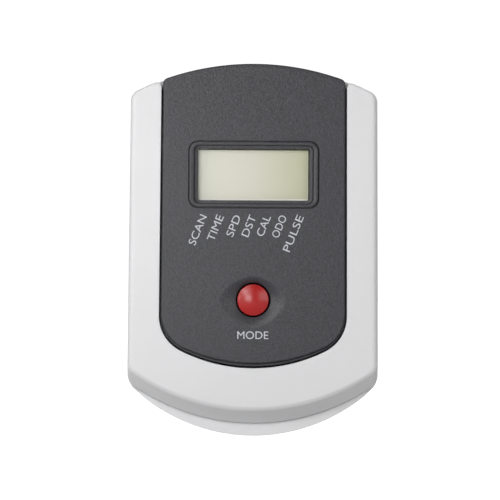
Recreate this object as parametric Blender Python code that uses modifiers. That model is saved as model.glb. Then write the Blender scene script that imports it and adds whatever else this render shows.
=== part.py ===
"""Exercise-bike console: a hand-sized display unit that slides onto a bracket on the bike's post.

Frame: +Z up the long axis, +X to the user's right, the face looks along -Y and the back along +Y.
The origin is the centre of the bracket socket's rear face. Run with blender --background --python part.py
"""

import math

import bmesh
import bpy
from mathutils import Vector

MM = 0.001

# Front outline, seen from the user's side
TOP_Z = 72.6 * MM
TOP_RADIUS = 103.0 * MM
HALF_WIDTH = 48.5 * MM  # at mid-height
SIDE_TAPER = 0.008  # the case widens downwards by this much per unit of height
TOP_CORNER_RADIUS = 4.3 * MM
BOTTOM_CORNER_RADIUS = 9.0 * MM
CHIN_TOP_Z = -61.8 * MM
CHIN_Z = -67.6 * MM
CHIN_RADIUS = 82.7 * MM
COVER_Z = -72.7 * MM
COVER_RADIUS = 68.9 * MM
LIP_HALF_WIDTH = 44.0 * MM
LIP_Y = -26.2 * MM

# Dark panel
PANEL_HALF_TOP = 35.5 * MM
PANEL_HALF_LOW = 36.1 * MM
PANEL_LOW_Z = -45.5 * MM
PANEL_LOW_RADIUS = 62.4 * MM
PANEL_LOW_CORNER = 14.5 * MM
PANEL_TOP_CORNER = 2.2 * MM
SEAM = 0.6 * MM

# Depths, from the face (-Y) to the bracket (+Y)
PANEL_Y = -35.5 * MM
PANEL_THICK = 2.2 * MM
SKIRT_Y = -31.7 * MM
FACE_Y = -34.8 * MM
LEDGE_Y = -31.4 * MM
LEDGE_THICK = 1.8 * MM
PARTING_Y = -18.5 * MM
BACK_Y = -10.3 * MM
WALL = 2.0 * MM
GAP = 0.3 * MM
INLAY = 0.1 * MM  # keeps a joined piece's face off its neighbour's

# Display
WINDOW_Z = 29.4 * MM
WINDOW_RING = (50.7 * MM, 26.1 * MM, 3.9 * MM)
WINDOW_LEDGE = (46.8 * MM, 23.4 * MM, 2.7 * MM)
WINDOW_OPENING = (42.9 * MM, 19.5 * MM, 0.8 * MM)
LENS_SIZE = (49.0 * MM, 26.0 * MM, 1.0 * MM)
LENS_Y = (-33.0 * MM, -31.8 * MM)
GLASS_SIZE = (46.4 * MM, 23.6 * MM)
GLASS_THICK = 1.1 * MM
HOLDER_OUTER = (52.0 * MM, 29.0 * MM, 1.5 * MM)
HOLDER_INNER = (47.2 * MM, 24.4 * MM, 0.5 * MM)
ZEBRA_SIZE = (44.0 * MM, 2.2 * MM)
ZEBRA_OFFSET_Z = 10.5 * MM

# Button and its switch
BUTTON_Z = -19.5 * MM
BUTTON_RADIUS = 6.1 * MM
BUTTON_HOLE_RADIUS = 6.5 * MM
BUTTON_DOME = 1.5 * MM
BUTTON_PROUD = 0.4 * MM
BUTTON_FLANGE_RADIUS = 7.8 * MM
BUTTON_FLANGE_Y = (-31.8 * MM, -31.1 * MM)
COLLAR_RADIUS = 8.6 * MM
COLLAR_Y = -32.1 * MM
DISH_HALF = (15.0 * MM, 11.0 * MM)
DISH_DEPTH = 2.0 * MM
SWITCH_SIDE = 6.0 * MM
SWITCH_Y = (-30.0 * MM, -26.5 * MM)
SWITCH_BORE_RADIUS = 2.0 * MM
SWITCH_BORE_END = -27.7 * MM
PLUNGER_RADIUS = 1.7 * MM
PLUNGER_Y = (-30.8 * MM, -28.8 * MM)

# Circuit board
PCB_HALF_WIDTH = 32.0 * MM
PCB_Z = (-32.0 * MM, 44.0 * MM)
PCB_Y = (-26.2 * MM, -25.0 * MM)
PCB_SCREWS = [(x * MM, z * MM) for z in (26.0, -26.0) for x in (-29.5, 29.5)]
PANEL_SCREWS = [(x * MM, z * MM) for x, z in ((-31.5, 56.0), (31.5, 56.0), (-28.5, -33.5), (28.5, -33.5))]
CASE_SCREWS = [(x * MM, z * MM) for x, z in ((-40.0, 40.0), (40.0, 40.0), (-34.0, -50.0), (34.0, -50.0))]

# Battery bay: two cells of 10.5 x 44.5 mm, lying across
CELL_RADIUS = 5.25 * MM
CELL_LENGTH = 44.5 * MM
CELL_Y = -17.95 * MM
CELL_Z = (39.3 * MM, 50.7 * MM)
BAY_HALF_WIDTH = 27.7 * MM
BAY_Z = (33.4 * MM, 56.6 * MM)
BAY_FRONT_Y = -23.5 * MM
BAY_FLOOR = 1.2 * MM
BAY_BLOCK_HALF = 31.3 * MM
BAY_BLOCK_Z = (29.6 * MM, 61.2 * MM)
DOOR_HALF_WIDTH = 29.5 * MM
DOOR_Z = (31.5 * MM, 59.5 * MM)
DOOR_THICK = 1.6 * MM
DOOR_HINGE_Z = DOOR_Z[0] + DOOR_THICK / 2
HINGE_PIN_RADIUS = 0.4 * MM
HINGE_PIN_REACH = 1.2 * MM
HINGE_PLAY = 0.15 * MM
CONTACT_THICK = 0.5 * MM

# Bracket socket: a flat tongue of 40 x 5 mm slides up into its channel
SOCKET_HALF_WIDTH = 25.0 * MM
SOCKET_HALF_HEIGHT = 22.0 * MM
SOCKET_FRONT_Y = -10.0 * MM
FLANGE_HALF_WIDTH = 31.5 * MM
FLANGE_THICK = 2.5 * MM
CHANNEL_HALF_WIDTH = 20.2 * MM
CHANNEL_Y = (-7.9 * MM, -2.3 * MM)
CHANNEL_TOP_Z = 19.0 * MM
SOCKET_SCREWS = [(x * MM, z * MM) for z in (14.0, -14.0) for x in (-28.2, 28.2)]

# Jack sockets
JACK_X = 14.0 * MM
JACK_Z = -46.0 * MM
JACK_NOSE_RADIUS = 4.0 * MM
JACK_BORE_RADIUS = 1.8 * MM
JACK_BODY_HALF = 4.6 * MM
JACK_Y = (-25.5 * MM, -12.6 * MM, -10.0 * MM)

ARC_STEPS = 16
CORNER_STEPS = 4


# ---------------------------------------------------------------- scene and materials


def clear_scene():
    for obj in list(bpy.data.objects):
        bpy.data.objects.remove(obj)


def new_collection(name):
    collection = bpy.data.collections.new(name)
    bpy.context.scene.collection.children.link(collection)
    return collection


def material(name, colour, roughness, metallic=0.0, transmission=0.0):
    made = bpy.data.materials.new(name)
    made.use_nodes = True
    shader = made.node_tree.nodes["Principled BSDF"]
    shader.inputs["Base Color"].default_value = (*colour, 1.0)
    shader.inputs["Roughness"].default_value = roughness
    shader.inputs["Metallic"].default_value = metallic
    shader.inputs["Transmission Weight"].default_value = transmission
    return made


# ---------------------------------------------------------------- outlines in the X-Z plane


def half_width(z):
    return HALF_WIDTH - SIDE_TAPER * z


def arc(radius, apex_z, half, side, corner=0.0):
    """Entries for rounded() along a circle whose apex is at apex_z, with corners of that radius at its ends.
    side is 1 for a top arc, which bulges up and runs right to left, and -1 for a bottom arc."""
    reach = math.asin(half / radius)
    trim = 1.2 * corner * math.tan((math.pi / 2 - reach) / 2) / radius
    inner = reach - trim
    angles = [inner - 2 * inner * i / ARC_STEPS for i in range(ARC_STEPS + 1)]
    if corner:
        angles = [reach] + angles + [-reach]
    radii = [corner] + [0] * (len(angles) - 2) + [corner]
    centre = apex_z - side * radius
    points = [(side * radius * math.sin(a), centre + side * radius * math.cos(a)) for a in angles]
    return [(x, z, r) for (x, z), r in zip(points, radii)]


def rounded(corners, steps=CORNER_STEPS):
    """A closed outline from (x, z, corner radius) entries."""
    points = []
    count = len(corners)
    for i, (x, z, radius) in enumerate(corners):
        here = Vector((x, z))
        if radius == 0:
            points.append((x, z))
            continue
        before = (Vector(corners[i - 1][:2]) - here).normalized()
        after = (Vector(corners[(i + 1) % count][:2]) - here).normalized()
        half = before.angle(after) / 2
        reach = radius / math.tan(half)
        centre = here + (before + after).normalized() * radius / math.sin(half)
        start = here + before * reach - centre
        turn = start.angle_signed(here + after * reach - centre)
        for step in range(steps + 1):
            angle = -turn * step / steps
            c, s = math.cos(angle), math.sin(angle)
            points.append((centre.x + c * start.x - s * start.y, centre.y + s * start.x + c * start.y))
    return points


def body_outline(side_inset, top_inset, apex_z, radius, corner=BOTTOM_CORNER_RADIUS):
    top_half = half_width(TOP_Z * 0.8) - side_inset
    low_half = half_width(apex_z * 0.75) - side_inset
    top_corner = max(TOP_CORNER_RADIUS - top_inset, 1 * MM)
    top = arc(TOP_RADIUS - top_inset, TOP_Z - top_inset, top_half, 1, top_corner)
    return rounded(top + arc(radius, apex_z, low_half, -1, corner))


def panel_outline(inset):
    top_corner = max(PANEL_TOP_CORNER - inset, 0.5 * MM)
    top = arc(TOP_RADIUS - inset, TOP_Z - inset, PANEL_HALF_TOP - inset, 1, top_corner)
    low_corner = PANEL_LOW_CORNER - inset
    low = arc(PANEL_LOW_RADIUS - inset, PANEL_LOW_Z + inset, PANEL_HALF_LOW - inset, -1, low_corner)
    return rounded(top + low)


def panel_opening(outset, top_z):
    """The panel's outline grown by outset and carried up to top_z, with rounded shoulders."""
    low_corner = PANEL_LOW_CORNER + outset
    low = arc(PANEL_LOW_RADIUS + outset, PANEL_LOW_Z - outset, PANEL_HALF_LOW + outset, -1, low_corner)
    half = PANEL_HALF_TOP + outset
    slope = half / math.sqrt(TOP_RADIUS**2 - half**2)
    shoulder_z = TOP_Z - TOP_RADIUS + math.sqrt(TOP_RADIUS**2 - half**2) + 0.02 * MM
    reach = 6 * MM
    out = (half + reach, shoulder_z - slope * reach + 0.1 * MM)
    shoulder_radius = 1.8 * MM
    right = [(half, shoulder_z, shoulder_radius), (*out, 0), (out[0], top_z, 0)]
    left = [(-x, z, r) for x, z, r in reversed(right)]
    return rounded(left + low + right)


def rectangle(width, height, radius, x=0.0, z=0.0):
    w, h = width / 2, height / 2
    corners = [(x + w, z + h), (x - w, z + h), (x - w, z - h), (x + w, z - h)]
    return rounded([(*corner, radius) for corner in corners])


def lip_outline(inset):
    """The crescent between the chin and the cover's lower edge, from its left end along the bottom."""
    outer, inner = COVER_RADIUS - INLAY - inset, CHIN_RADIUS + GAP + inset
    across = [LIP_HALF_WIDTH * (2 * i / ARC_STEPS - 1) for i in range(ARC_STEPS + 1)]
    bottom = [(x, COVER_Z + INLAY + inset + outer - math.sqrt(outer**2 - x * x)) for x in across]
    top = [(x, CHIN_Z - GAP - inset + inner - math.sqrt(inner**2 - x * x)) for x in reversed(across)]
    return bottom + top


# ---------------------------------------------------------------- solids


def add(obj, collection, surface=None):
    collection.objects.link(obj)
    if surface:
        obj.data.materials.append(surface)
    if collection is cutters:
        obj.hide_render = True
        obj.display_type = "WIRE"
    return obj


def loft(name, sections, collection, surface=None):
    """A closed solid through outlines of equal point count, each given as (y, outline)."""
    mesh = bmesh.new()
    rings = [[mesh.verts.new((x, y, z)) for x, z in outline] for y, outline in sections]
    for near, far in zip(rings, rings[1:]):
        for i in range(len(near)):
            mesh.faces.new((near[i - 1], near[i], far[i], far[i - 1]))
    mesh.faces.new(rings[0])
    mesh.faces.new(rings[-1])
    bmesh.ops.recalc_face_normals(mesh, faces=mesh.faces)
    data = bpy.data.meshes.new(name)
    mesh.to_mesh(data)
    mesh.free()
    return add(bpy.data.objects.new(name, data), collection, surface)


def from_curve(name, curve, collection, surface=None):
    """Turns a curve into a mesh object, with its caps welded and its flat faces made whole."""
    guide = bpy.data.objects.new(name + "_curve", curve)
    bpy.context.scene.collection.objects.link(guide)
    evaluated = guide.evaluated_get(bpy.context.evaluated_depsgraph_get())
    data = bpy.data.meshes.new_from_object(evaluated)
    data.name = name
    bpy.data.objects.remove(guide)
    mesh = bmesh.new()
    mesh.from_mesh(data)
    bmesh.ops.remove_doubles(mesh, verts=mesh.verts, dist=1e-6)
    bmesh.ops.dissolve_limit(mesh, angle_limit=0.001, verts=mesh.verts, edges=mesh.edges)
    bmesh.ops.recalc_face_normals(mesh, faces=mesh.faces)
    mesh.to_mesh(data)
    mesh.free()
    data.materials.clear()
    return add(bpy.data.objects.new(name, data), collection, surface)


def prism(name, outlines, y0, y1, collection, surface=None):
    """A flat outline in the X-Z plane, or one with holes, from y0 to y1."""
    curve = bpy.data.curves.new(name, "CURVE")
    curve.dimensions = "2D"
    curve.fill_mode = "BOTH"
    curve.extrude = (y1 - y0) / 2
    for outline in outlines:
        spline = curve.splines.new("POLY")
        spline.points.add(len(outline) - 1)
        for point, (x, z) in zip(spline.points, outline):
            point.co = (x, z, 0, 1)
        spline.use_cyclic_u = True
    obj = from_curve(name, curve, collection, surface)
    obj.rotation_euler = (math.pi / 2, 0, 0)
    obj.location = (0, (y0 + y1) / 2, 0)
    return obj


def box(name, low, high, collection, surface=None):
    mesh = bmesh.new()
    bmesh.ops.create_cube(mesh, size=1)
    bmesh.ops.scale(mesh, vec=Vector(high) - Vector(low), verts=mesh.verts)
    data = bpy.data.meshes.new(name)
    mesh.to_mesh(data)
    mesh.free()
    obj = add(bpy.data.objects.new(name, data), collection, surface)
    obj.location = (Vector(low) + Vector(high)) / 2
    return obj


def rod(name, radius, start, end, collection, surface=None, segments=20, end_radius=None):
    """A round bar, or a cone, from start to end."""
    start, end = Vector(start), Vector(end)
    mesh = bmesh.new()
    bmesh.ops.create_cone(
        mesh,
        cap_ends=True,
        segments=segments,
        radius1=radius,
        radius2=radius if end_radius is None else end_radius,
        depth=(end - start).length,
    )
    data = bpy.data.meshes.new(name)
    mesh.to_mesh(data)
    mesh.free()
    obj = add(bpy.data.objects.new(name, data), collection, surface)
    obj.location = (start + end) / 2
    obj.rotation_mode = "QUATERNION"
    obj.rotation_quaternion = (end - start).to_track_quat("Z", "Y")
    return obj


def turned(name, profile, x, z, surface, steps=32):
    """A solid turned about an axis along Y. The profile is (radius, y) from the front end to the back."""
    data = bpy.data.meshes.new(name)
    points = [(r, 0, -y) for r, y in profile]
    data.from_pydata(points, [(i, i + 1) for i in range(len(points) - 1)], [])
    obj = add(bpy.data.objects.new(name, data), parts, surface)
    obj.rotation_euler = (math.pi / 2, 0, 0)
    obj.location = (x, 0, z)
    screw = obj.modifiers.new("Turn", "SCREW")
    screw.steps = screw.render_steps = steps
    screw.use_merge_vertices = True
    screw.merge_threshold = 0.00001
    return obj


def wire(name, route, radius, surface):
    """A round wire whose line passes smoothly through the route's points."""
    curve = bpy.data.curves.new(name, "CURVE")
    curve.dimensions = "3D"
    curve.bevel_depth = radius
    curve.bevel_resolution = 2
    curve.use_fill_caps = True
    points = smooth_route([Vector(p) for p in route])
    spline = curve.splines.new("POLY")
    spline.points.add(len(points) - 1)
    for point, place in zip(spline.points, points):
        point.co = (*place, 1)
    return from_curve(name, curve, parts, surface)


def smooth_route(route, per_span=3):
    """Points of a smooth curve (Catmull-Rom) through the route."""
    ends = [2 * route[0] - route[1], *route, 2 * route[-1] - route[-2]]
    points = []
    for a, b, c, d in zip(ends, ends[1:], ends[2:], ends[3:]):
        for step in range(per_span):
            t = step / per_span
            cubic = (3 * b - a - 3 * c + d) * t**3
            points.append((2 * b + (c - a) * t + (2 * a - 5 * b + 4 * c - d) * t**2 + cubic) / 2)
    return points + [route[-1]]


def boolean(obj, tool, operation):
    step = obj.modifiers.new(operation.title(), "BOOLEAN")
    step.operation = operation
    step.object = tool
    step.solver = "EXACT"
    return obj


def cut(obj, tool):
    return boolean(obj, tool, "DIFFERENCE")


def join(obj, tool):
    return boolean(obj, tool, "UNION")


def bevel(obj, width, segments=2, angle=50):
    step = obj.modifiers.new("Bevel", "BEVEL")
    step.width = width
    step.segments = segments
    step.limit_method = "ANGLE"
    step.angle_limit = math.radians(angle)
    return obj


def smooth(obj, angle=35):
    obj.data.shade_smooth()
    obj.data.set_sharp_from_angle(angle=math.radians(angle))
    return obj


# ---------------------------------------------------------------- case


def face_panel():
    """Dark front moulding: face, short skirt and top wall, with the display and button openings."""
    edge = [(PANEL_Y, 1.0), (PANEL_Y + 0.3 * MM, 0.3), (PANEL_Y + 1.0 * MM, 0), (SKIRT_Y, 0)]
    panel = loft("face_panel", [(y, panel_outline(inset * MM)) for y, inset in edge], parts, dark_plastic)
    inside_y = PANEL_Y + PANEL_THICK
    cut(panel, prism("panel_inside", [panel_outline(WALL)], inside_y, SKIRT_Y + 2 * MM, cutters))
    half, foot = PANEL_HALF_TOP - INLAY, TOP_Z - 10 * MM
    outer = arc(TOP_RADIUS, TOP_Z - INLAY, half, 1, PANEL_TOP_CORNER)
    inner = arc(TOP_RADIUS - WALL, TOP_Z - WALL, half - WALL, 1)[::-1]
    left = [(-half, foot, 0), (WALL - half, foot, 0)]
    right = [(half - WALL, foot, 0), (half, foot, 0)]
    band = rounded(outer + left + inner + right)
    join(panel, prism("panel_top_wall", [band], PANEL_Y + 1.5 * MM, PARTING_Y - GAP, cutters))
    for i, (x, z) in enumerate(PCB_SCREWS):
        post = rod(f"pcb_post_{i}", 2.6 * MM, (x, inside_y - 0.5 * MM, z), (x, PCB_Y[0] - GAP, z), cutters)
        join(panel, post)
        bore = [(x, inside_y + 1 * MM, z), (x, 0, z)]
        cut(panel, rod(f"pcb_post_bore_{i}", 1.3 * MM, *bore, cutters, segments=12))
    for i, (x, z) in enumerate(PANEL_SCREWS):
        join(panel, rod(f"panel_post_{i}", 2.8 * MM, (x, inside_y - 0.5 * MM, z), (x, SKIRT_Y, z), cutters))
        bore = [(x, PANEL_Y + 1.2 * MM, z), (x, 0, z)]
        cut(panel, rod(f"panel_post_bore_{i}", 1.3 * MM, *bore, cutters, segments=12))
    front = PANEL_Y - 1 * MM
    width, height, radius = WINDOW_RING
    ring = [rectangle(width + 0.3 * MM, height + 0.3 * MM, radius, z=WINDOW_Z)]
    ring.append(rectangle(width - 0.5 * MM, height - 0.5 * MM, radius - 0.4 * MM, z=WINDOW_Z))
    cut(panel, prism("window_groove", ring, front, PANEL_Y + 0.4 * MM, cutters))
    step, opening = rectangle(*WINDOW_LEDGE, z=WINDOW_Z), rectangle(*WINDOW_OPENING, z=WINDOW_Z)
    cut(panel, prism("window_step", [step], front, PANEL_Y + 0.9 * MM, cutters))
    cut(panel, prism("window_opening", [opening], front, SKIRT_Y, cutters))
    button_axis = [(0, inside_y - 0.8 * MM, BUTTON_Z), (0, COLLAR_Y, BUTTON_Z)]
    join(panel, rod("button_collar", COLLAR_RADIUS, *button_axis, cutters, segments=32))
    cut(panel, dish_cutter())
    hole = [(0, PANEL_Y - 2 * MM, BUTTON_Z), (0, SKIRT_Y + 1 * MM, BUTTON_Z)]
    cut(panel, rod("button_hole", BUTTON_HOLE_RADIUS, *hole, cutters, segments=32))
    return smooth(panel)


def dish_cutter():
    """A flat ellipsoid that leaves a shallow finger dish of DISH_HALF and DISH_DEPTH in the face."""
    share = 0.35  # how much of the ellipsoid's half-depth goes below the face
    half_depth = DISH_DEPTH / share
    spread = math.sqrt(1 - (1 - share) ** 2)
    mesh = bmesh.new()
    bmesh.ops.create_uvsphere(mesh, u_segments=32, v_segments=16, radius=1)
    size = (DISH_HALF[0] / spread, DISH_HALF[1] / spread, half_depth)
    bmesh.ops.scale(mesh, vec=size, verts=mesh.verts)
    data = bpy.data.meshes.new("finger_dish")
    mesh.to_mesh(data)
    mesh.free()
    obj = add(bpy.data.objects.new("finger_dish", data), cutters)
    obj.rotation_euler = (math.pi / 2, 0, 0)
    obj.location = (0, PANEL_Y - half_depth * (1 - share), BUTTON_Z)
    return obj


def front_surround():
    """White U-shaped front moulding round the panel, with its sloping chin."""
    sections = [
        (FACE_Y, body_outline(1.9 * MM, 1.0 * MM, CHIN_TOP_Z + 0.5 * MM, CHIN_RADIUS, 7 * MM)),
        (FACE_Y + 0.5 * MM, body_outline(0.7 * MM, 0.4 * MM, CHIN_TOP_Z - 0.6 * MM, CHIN_RADIUS, 8 * MM)),
        (FACE_Y + 2.2 * MM, body_outline(0, 0, CHIN_TOP_Z - 2.4 * MM, CHIN_RADIUS)),
        (FACE_Y + 7.0 * MM, body_outline(0, 0, CHIN_Z, CHIN_RADIUS)),
        (PARTING_Y - GAP, body_outline(0, 0, CHIN_Z, CHIN_RADIUS)),
    ]
    surround = loft("front_surround", sections, parts, white_plastic)
    inside = [
        (FACE_Y + WALL, body_outline(WALL, WALL, CHIN_TOP_Z + 0.2 * MM, CHIN_RADIUS)),
        (FACE_Y + 8.0 * MM, body_outline(WALL, WALL, CHIN_Z + WALL, CHIN_RADIUS)),
        (PARTING_Y + 2 * MM, body_outline(WALL, WALL, CHIN_Z + WALL, CHIN_RADIUS)),
    ]
    cavity = loft("surround_inside", inside, cutters)
    keep = [panel_opening(SEAM + 1.8 * MM, TOP_Z + 20 * MM)]
    cut(cavity, prism("pocket_wall", keep, FACE_Y - 5 * MM, LEDGE_Y + LEDGE_THICK, cutters))
    cut(surround, cavity)
    for i, (x, z) in enumerate(CASE_SCREWS):
        ends = [(x, FACE_Y + 1 * MM, z), (x, PARTING_Y - GAP, z)]
        join(surround, rod(f"case_post_{i}", 3.2 * MM, *ends, cutters))
    pocket = [panel_opening(SEAM, TOP_Z + 10 * MM)]
    cut(surround, prism("panel_pocket", pocket, FACE_Y - 2 * MM, LEDGE_Y, cutters))
    through = [panel_outline(3.4 * MM)]
    cut(surround, prism("panel_through", through, FACE_Y - 2 * MM, PARTING_Y + 2 * MM, cutters))
    half = PANEL_HALF_TOP + SEAM
    notch = [(-half, LEDGE_Y - 1 * MM, 60 * MM), (half, PARTING_Y + 3 * MM, 90 * MM)]
    cut(surround, box("top_wall_gap", *notch, cutters))
    for i, (x, z) in enumerate(PANEL_SCREWS):
        ends = [(x, LEDGE_Y, z), (x, LEDGE_Y + LEDGE_THICK, z)]
        join(surround, rod(f"panel_ear_{i}", 3.6 * MM, *ends, cutters))
        cut(surround, rod(f"panel_ear_hole_{i}", 1.3 * MM, (x, FACE_Y, z), (x, 0, z), cutters, segments=12))
    for i, (x, z) in enumerate(CASE_SCREWS):
        cut(surround, rod(f"case_post_bore_{i}", 1.6 * MM, (x, -31 * MM, z), (x, 0, z), cutters, segments=12))
    return smooth(surround)


def rear_cover():
    """White rear moulding: a shallow bowl with a lip under the chin, the battery bay and the posts."""
    def cover(inset):
        corner = BOTTOM_CORNER_RADIUS - inset
        return body_outline(inset, inset, COVER_Z + inset, COVER_RADIUS - inset, corner)

    rim_y = PARTING_Y
    outside = [(rim_y, 0.4), (rim_y + 0.4 * MM, 0), (rim_y + 1.3 * MM, 0), (rim_y + 4 * MM, 0.2)]
    outside += [(BACK_Y - 1.6 * MM, 1.4), (BACK_Y - 0.4 * MM, 2.9), (BACK_Y, 4.2)]
    shell = loft("rear_cover", [(y, cover(inset * MM)) for y, inset in outside], parts, white_plastic)
    narrow = body_outline(WALL, WALL, CHIN_Z + WALL, CHIN_RADIUS)
    inside = [(rim_y - 1 * MM, narrow), (rim_y + WALL, narrow), (rim_y + WALL + 0.1 * MM, cover(WALL))]
    inside += [(BACK_Y - 3.2 * MM, cover(2.6 * MM)), (BACK_Y - WALL, cover(4.2 * MM))]
    cut(shell, loft("cover_inside", inside, cutters))
    lip = [(LIP_Y, 0.5), (LIP_Y + 0.4 * MM, 0.05), (rim_y + 1.2 * MM, 0.05)]
    join(shell, loft("chin_lip", [(y, lip_outline(inset * MM)) for y, inset in lip], cutters))
    bay_low = (-BAY_BLOCK_HALF, BAY_FRONT_Y - BAY_FLOOR, BAY_BLOCK_Z[0])
    join(shell, box("bay_block", bay_low, (BAY_BLOCK_HALF, BACK_Y - 1 * MM, BAY_BLOCK_Z[1]), cutters))
    for i, (x, z) in enumerate(CASE_SCREWS):
        join(shell, rod(f"cover_post_{i}", 4.6 * MM, (x, rim_y, z), (x, BACK_Y - 1 * MM, z), cutters))
    for i, (x, z) in enumerate(SOCKET_SCREWS):
        join(shell, rod(f"socket_post_{i}", 3.0 * MM, (x, -20 * MM, z), (x, BACK_Y - 1 * MM, z), cutters))
    bay_high = (BAY_HALF_WIDTH, BACK_Y + 2 * MM, BAY_Z[1])
    cut(shell, box("bay_inside", (-BAY_HALF_WIDTH, BAY_FRONT_Y, BAY_Z[0]), bay_high, cutters))
    pocket_x = DOOR_HALF_WIDTH + GAP
    pocket_low = (-pocket_x, BACK_Y - DOOR_THICK - GAP, DOOR_Z[0] - GAP)
    cut(shell, box("door_pocket", pocket_low, (pocket_x, BACK_Y + 2 * MM, DOOR_Z[1] + GAP), cutters))
    for i, (x, z) in enumerate(CASE_SCREWS):
        cut(shell, rod(f"cover_hole_{i}", 1.6 * MM, (x, -30 * MM, z), (x, 0, z), cutters, segments=12))
        cut(shell, rod(f"cover_counterbore_{i}", 3.1 * MM, (x, -14.3 * MM, z), (x, 0, z), cutters))
    for i, (x, z) in enumerate(SOCKET_SCREWS):
        cut(shell, rod(f"socket_bore_{i}", 1.6 * MM, (x, -19 * MM, z), (x, 0, z), cutters, segments=12))
    for side in (-1, 1):
        tail = (min(side * 26.4 * MM, side * 27.5 * MM), max(side * 26.4 * MM, side * 27.5 * MM))
        low = (tail[0], -30 * MM, CELL_Z[1] - 1.5 * MM)
        high = (tail[1], -20 * MM, CELL_Z[1] + 1.5 * MM)
        cut(shell, box(f"tail_slot_{side}", low, high, cutters))
        ends = [(side * JACK_X, -20 * MM, JACK_Z), (side * JACK_X, 0, JACK_Z)]
        cut(shell, rod(f"jack_hole_{side}", JACK_NOSE_RADIUS + GAP, *ends, cutters, segments=32))
        ends = hinge_pin_ends(side, HINGE_PLAY)
        cut(shell, rod(f"hinge_socket_{side}", HINGE_PIN_RADIUS + HINGE_PLAY, *ends, cutters, segments=24))
    return smooth(shell)


def hinge_pin_ends(side, play=0.0):
    """From just inside the lid's end to the tip of its pin, or of the pin's socket with some play."""
    tip = DOOR_HALF_WIDTH + HINGE_PIN_REACH + play
    return [(side * x, BACK_Y - DOOR_THICK / 2, DOOR_HINGE_Z) for x in (DOOR_HALF_WIDTH - 1 * MM, tip)]


def battery_door():
    """Lid over the cells; its lower edge is round, with a pin at each end that turns in the cover."""
    r = DOOR_THICK / 2
    top = DOOR_Z[1] - DOOR_HINGE_Z
    profile = [(r * math.sin(a), -r * math.cos(a)) for a in [math.pi * (i / 6 - 0.5) for i in range(7)]]
    outline = [(y, z) for y, z in profile] + [(r, top - 0.4 * MM), (r - 0.4 * MM, top), (-r, top)]
    mesh = bmesh.new()
    ring = [mesh.verts.new((-DOOR_HALF_WIDTH, y, z)) for y, z in outline]
    face = mesh.faces.new(ring)
    moved = bmesh.ops.extrude_face_region(mesh, geom=[face])["geom"]
    verts = [v for v in moved if isinstance(v, bmesh.types.BMVert)]
    bmesh.ops.translate(mesh, vec=(2 * DOOR_HALF_WIDTH, 0, 0), verts=verts)
    bmesh.ops.recalc_face_normals(mesh, faces=mesh.faces)
    data = bpy.data.meshes.new("battery_door")
    mesh.to_mesh(data)
    mesh.free()
    door = add(bpy.data.objects.new("battery_door", data), parts, white_plastic)
    door.location = (0, BACK_Y - r, DOOR_HINGE_Z)
    for side in (-1, 1):
        join(door, rod(f"hinge_pin_{side}", HINGE_PIN_RADIUS, *hinge_pin_ends(side), cutters, segments=16))
    notch = [(0, BACK_Y - 0.7 * MM, DOOR_Z[1] - 6 * MM), (0, BACK_Y + 3 * MM, DOOR_Z[1] - 6 * MM)]
    cut(door, rod("door_finger_notch", 5.0 * MM, *notch, cutters, segments=32, end_radius=8 * MM))
    return smooth(door)


def bracket_socket():
    """Block on the back with an upright channel, open below, for the bike's bracket tongue."""
    low = (-SOCKET_HALF_WIDTH, SOCKET_FRONT_Y, -SOCKET_HALF_HEIGHT)
    socket = box("bracket_socket", low, (SOCKET_HALF_WIDTH, 0, SOCKET_HALF_HEIGHT), parts, white_plastic)
    bevel(socket, 1.2 * MM, 2)
    flange_z = SOCKET_HALF_HEIGHT - 2 * MM
    flange_low = (-FLANGE_HALF_WIDTH, SOCKET_FRONT_Y, -flange_z)
    flange_high = (FLANGE_HALF_WIDTH, SOCKET_FRONT_Y + FLANGE_THICK, flange_z)
    flange = box("socket_flange", flange_low, flange_high, cutters)
    join(socket, flange)
    channel_low = (-CHANNEL_HALF_WIDTH, CHANNEL_Y[0], -SOCKET_HALF_HEIGHT - 5 * MM)
    channel_high = (CHANNEL_HALF_WIDTH, CHANNEL_Y[1], CHANNEL_TOP_Z)
    cut(socket, box("socket_channel", channel_low, channel_high, cutters))
    for i, (x, z) in enumerate(SOCKET_SCREWS):
        cut(socket, rod(f"socket_hole_{i}", 1.6 * MM, (x, -20 * MM, z), (x, 0, z), cutters, segments=12))
    return socket


# ---------------------------------------------------------------- fasteners


def screw(name, x, z, head_y, head_thick, head_radius, shank_radius, length):
    """A pan-head self-tapping screw that points to the face; head_y is the underside of its head."""
    tip = head_y - length
    profile = [(0, tip), (0.4 * shank_radius, tip), (shank_radius, tip + shank_radius)]
    profile += [(shank_radius, head_y)]
    profile += [(head_radius, head_y), (head_radius, head_y + head_thick * 0.5)]
    profile += [(head_radius * 0.7, head_y + head_thick), (0, head_y + head_thick)]
    obj = turned(name, profile, x, z, screw_steel, steps=12)
    arm, thick = head_radius * 0.55, head_radius * 0.13
    floor = head_y + head_thick * 0.45
    for i, (dx, dz) in enumerate(((arm, thick), (thick, arm))):
        low = (x - dx, floor, z - dz)
        cut(obj, box(f"{name}_recess_{i}", low, (x + dx, head_y + 3 * MM, z + dz), cutters))
    return smooth(obj)


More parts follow.
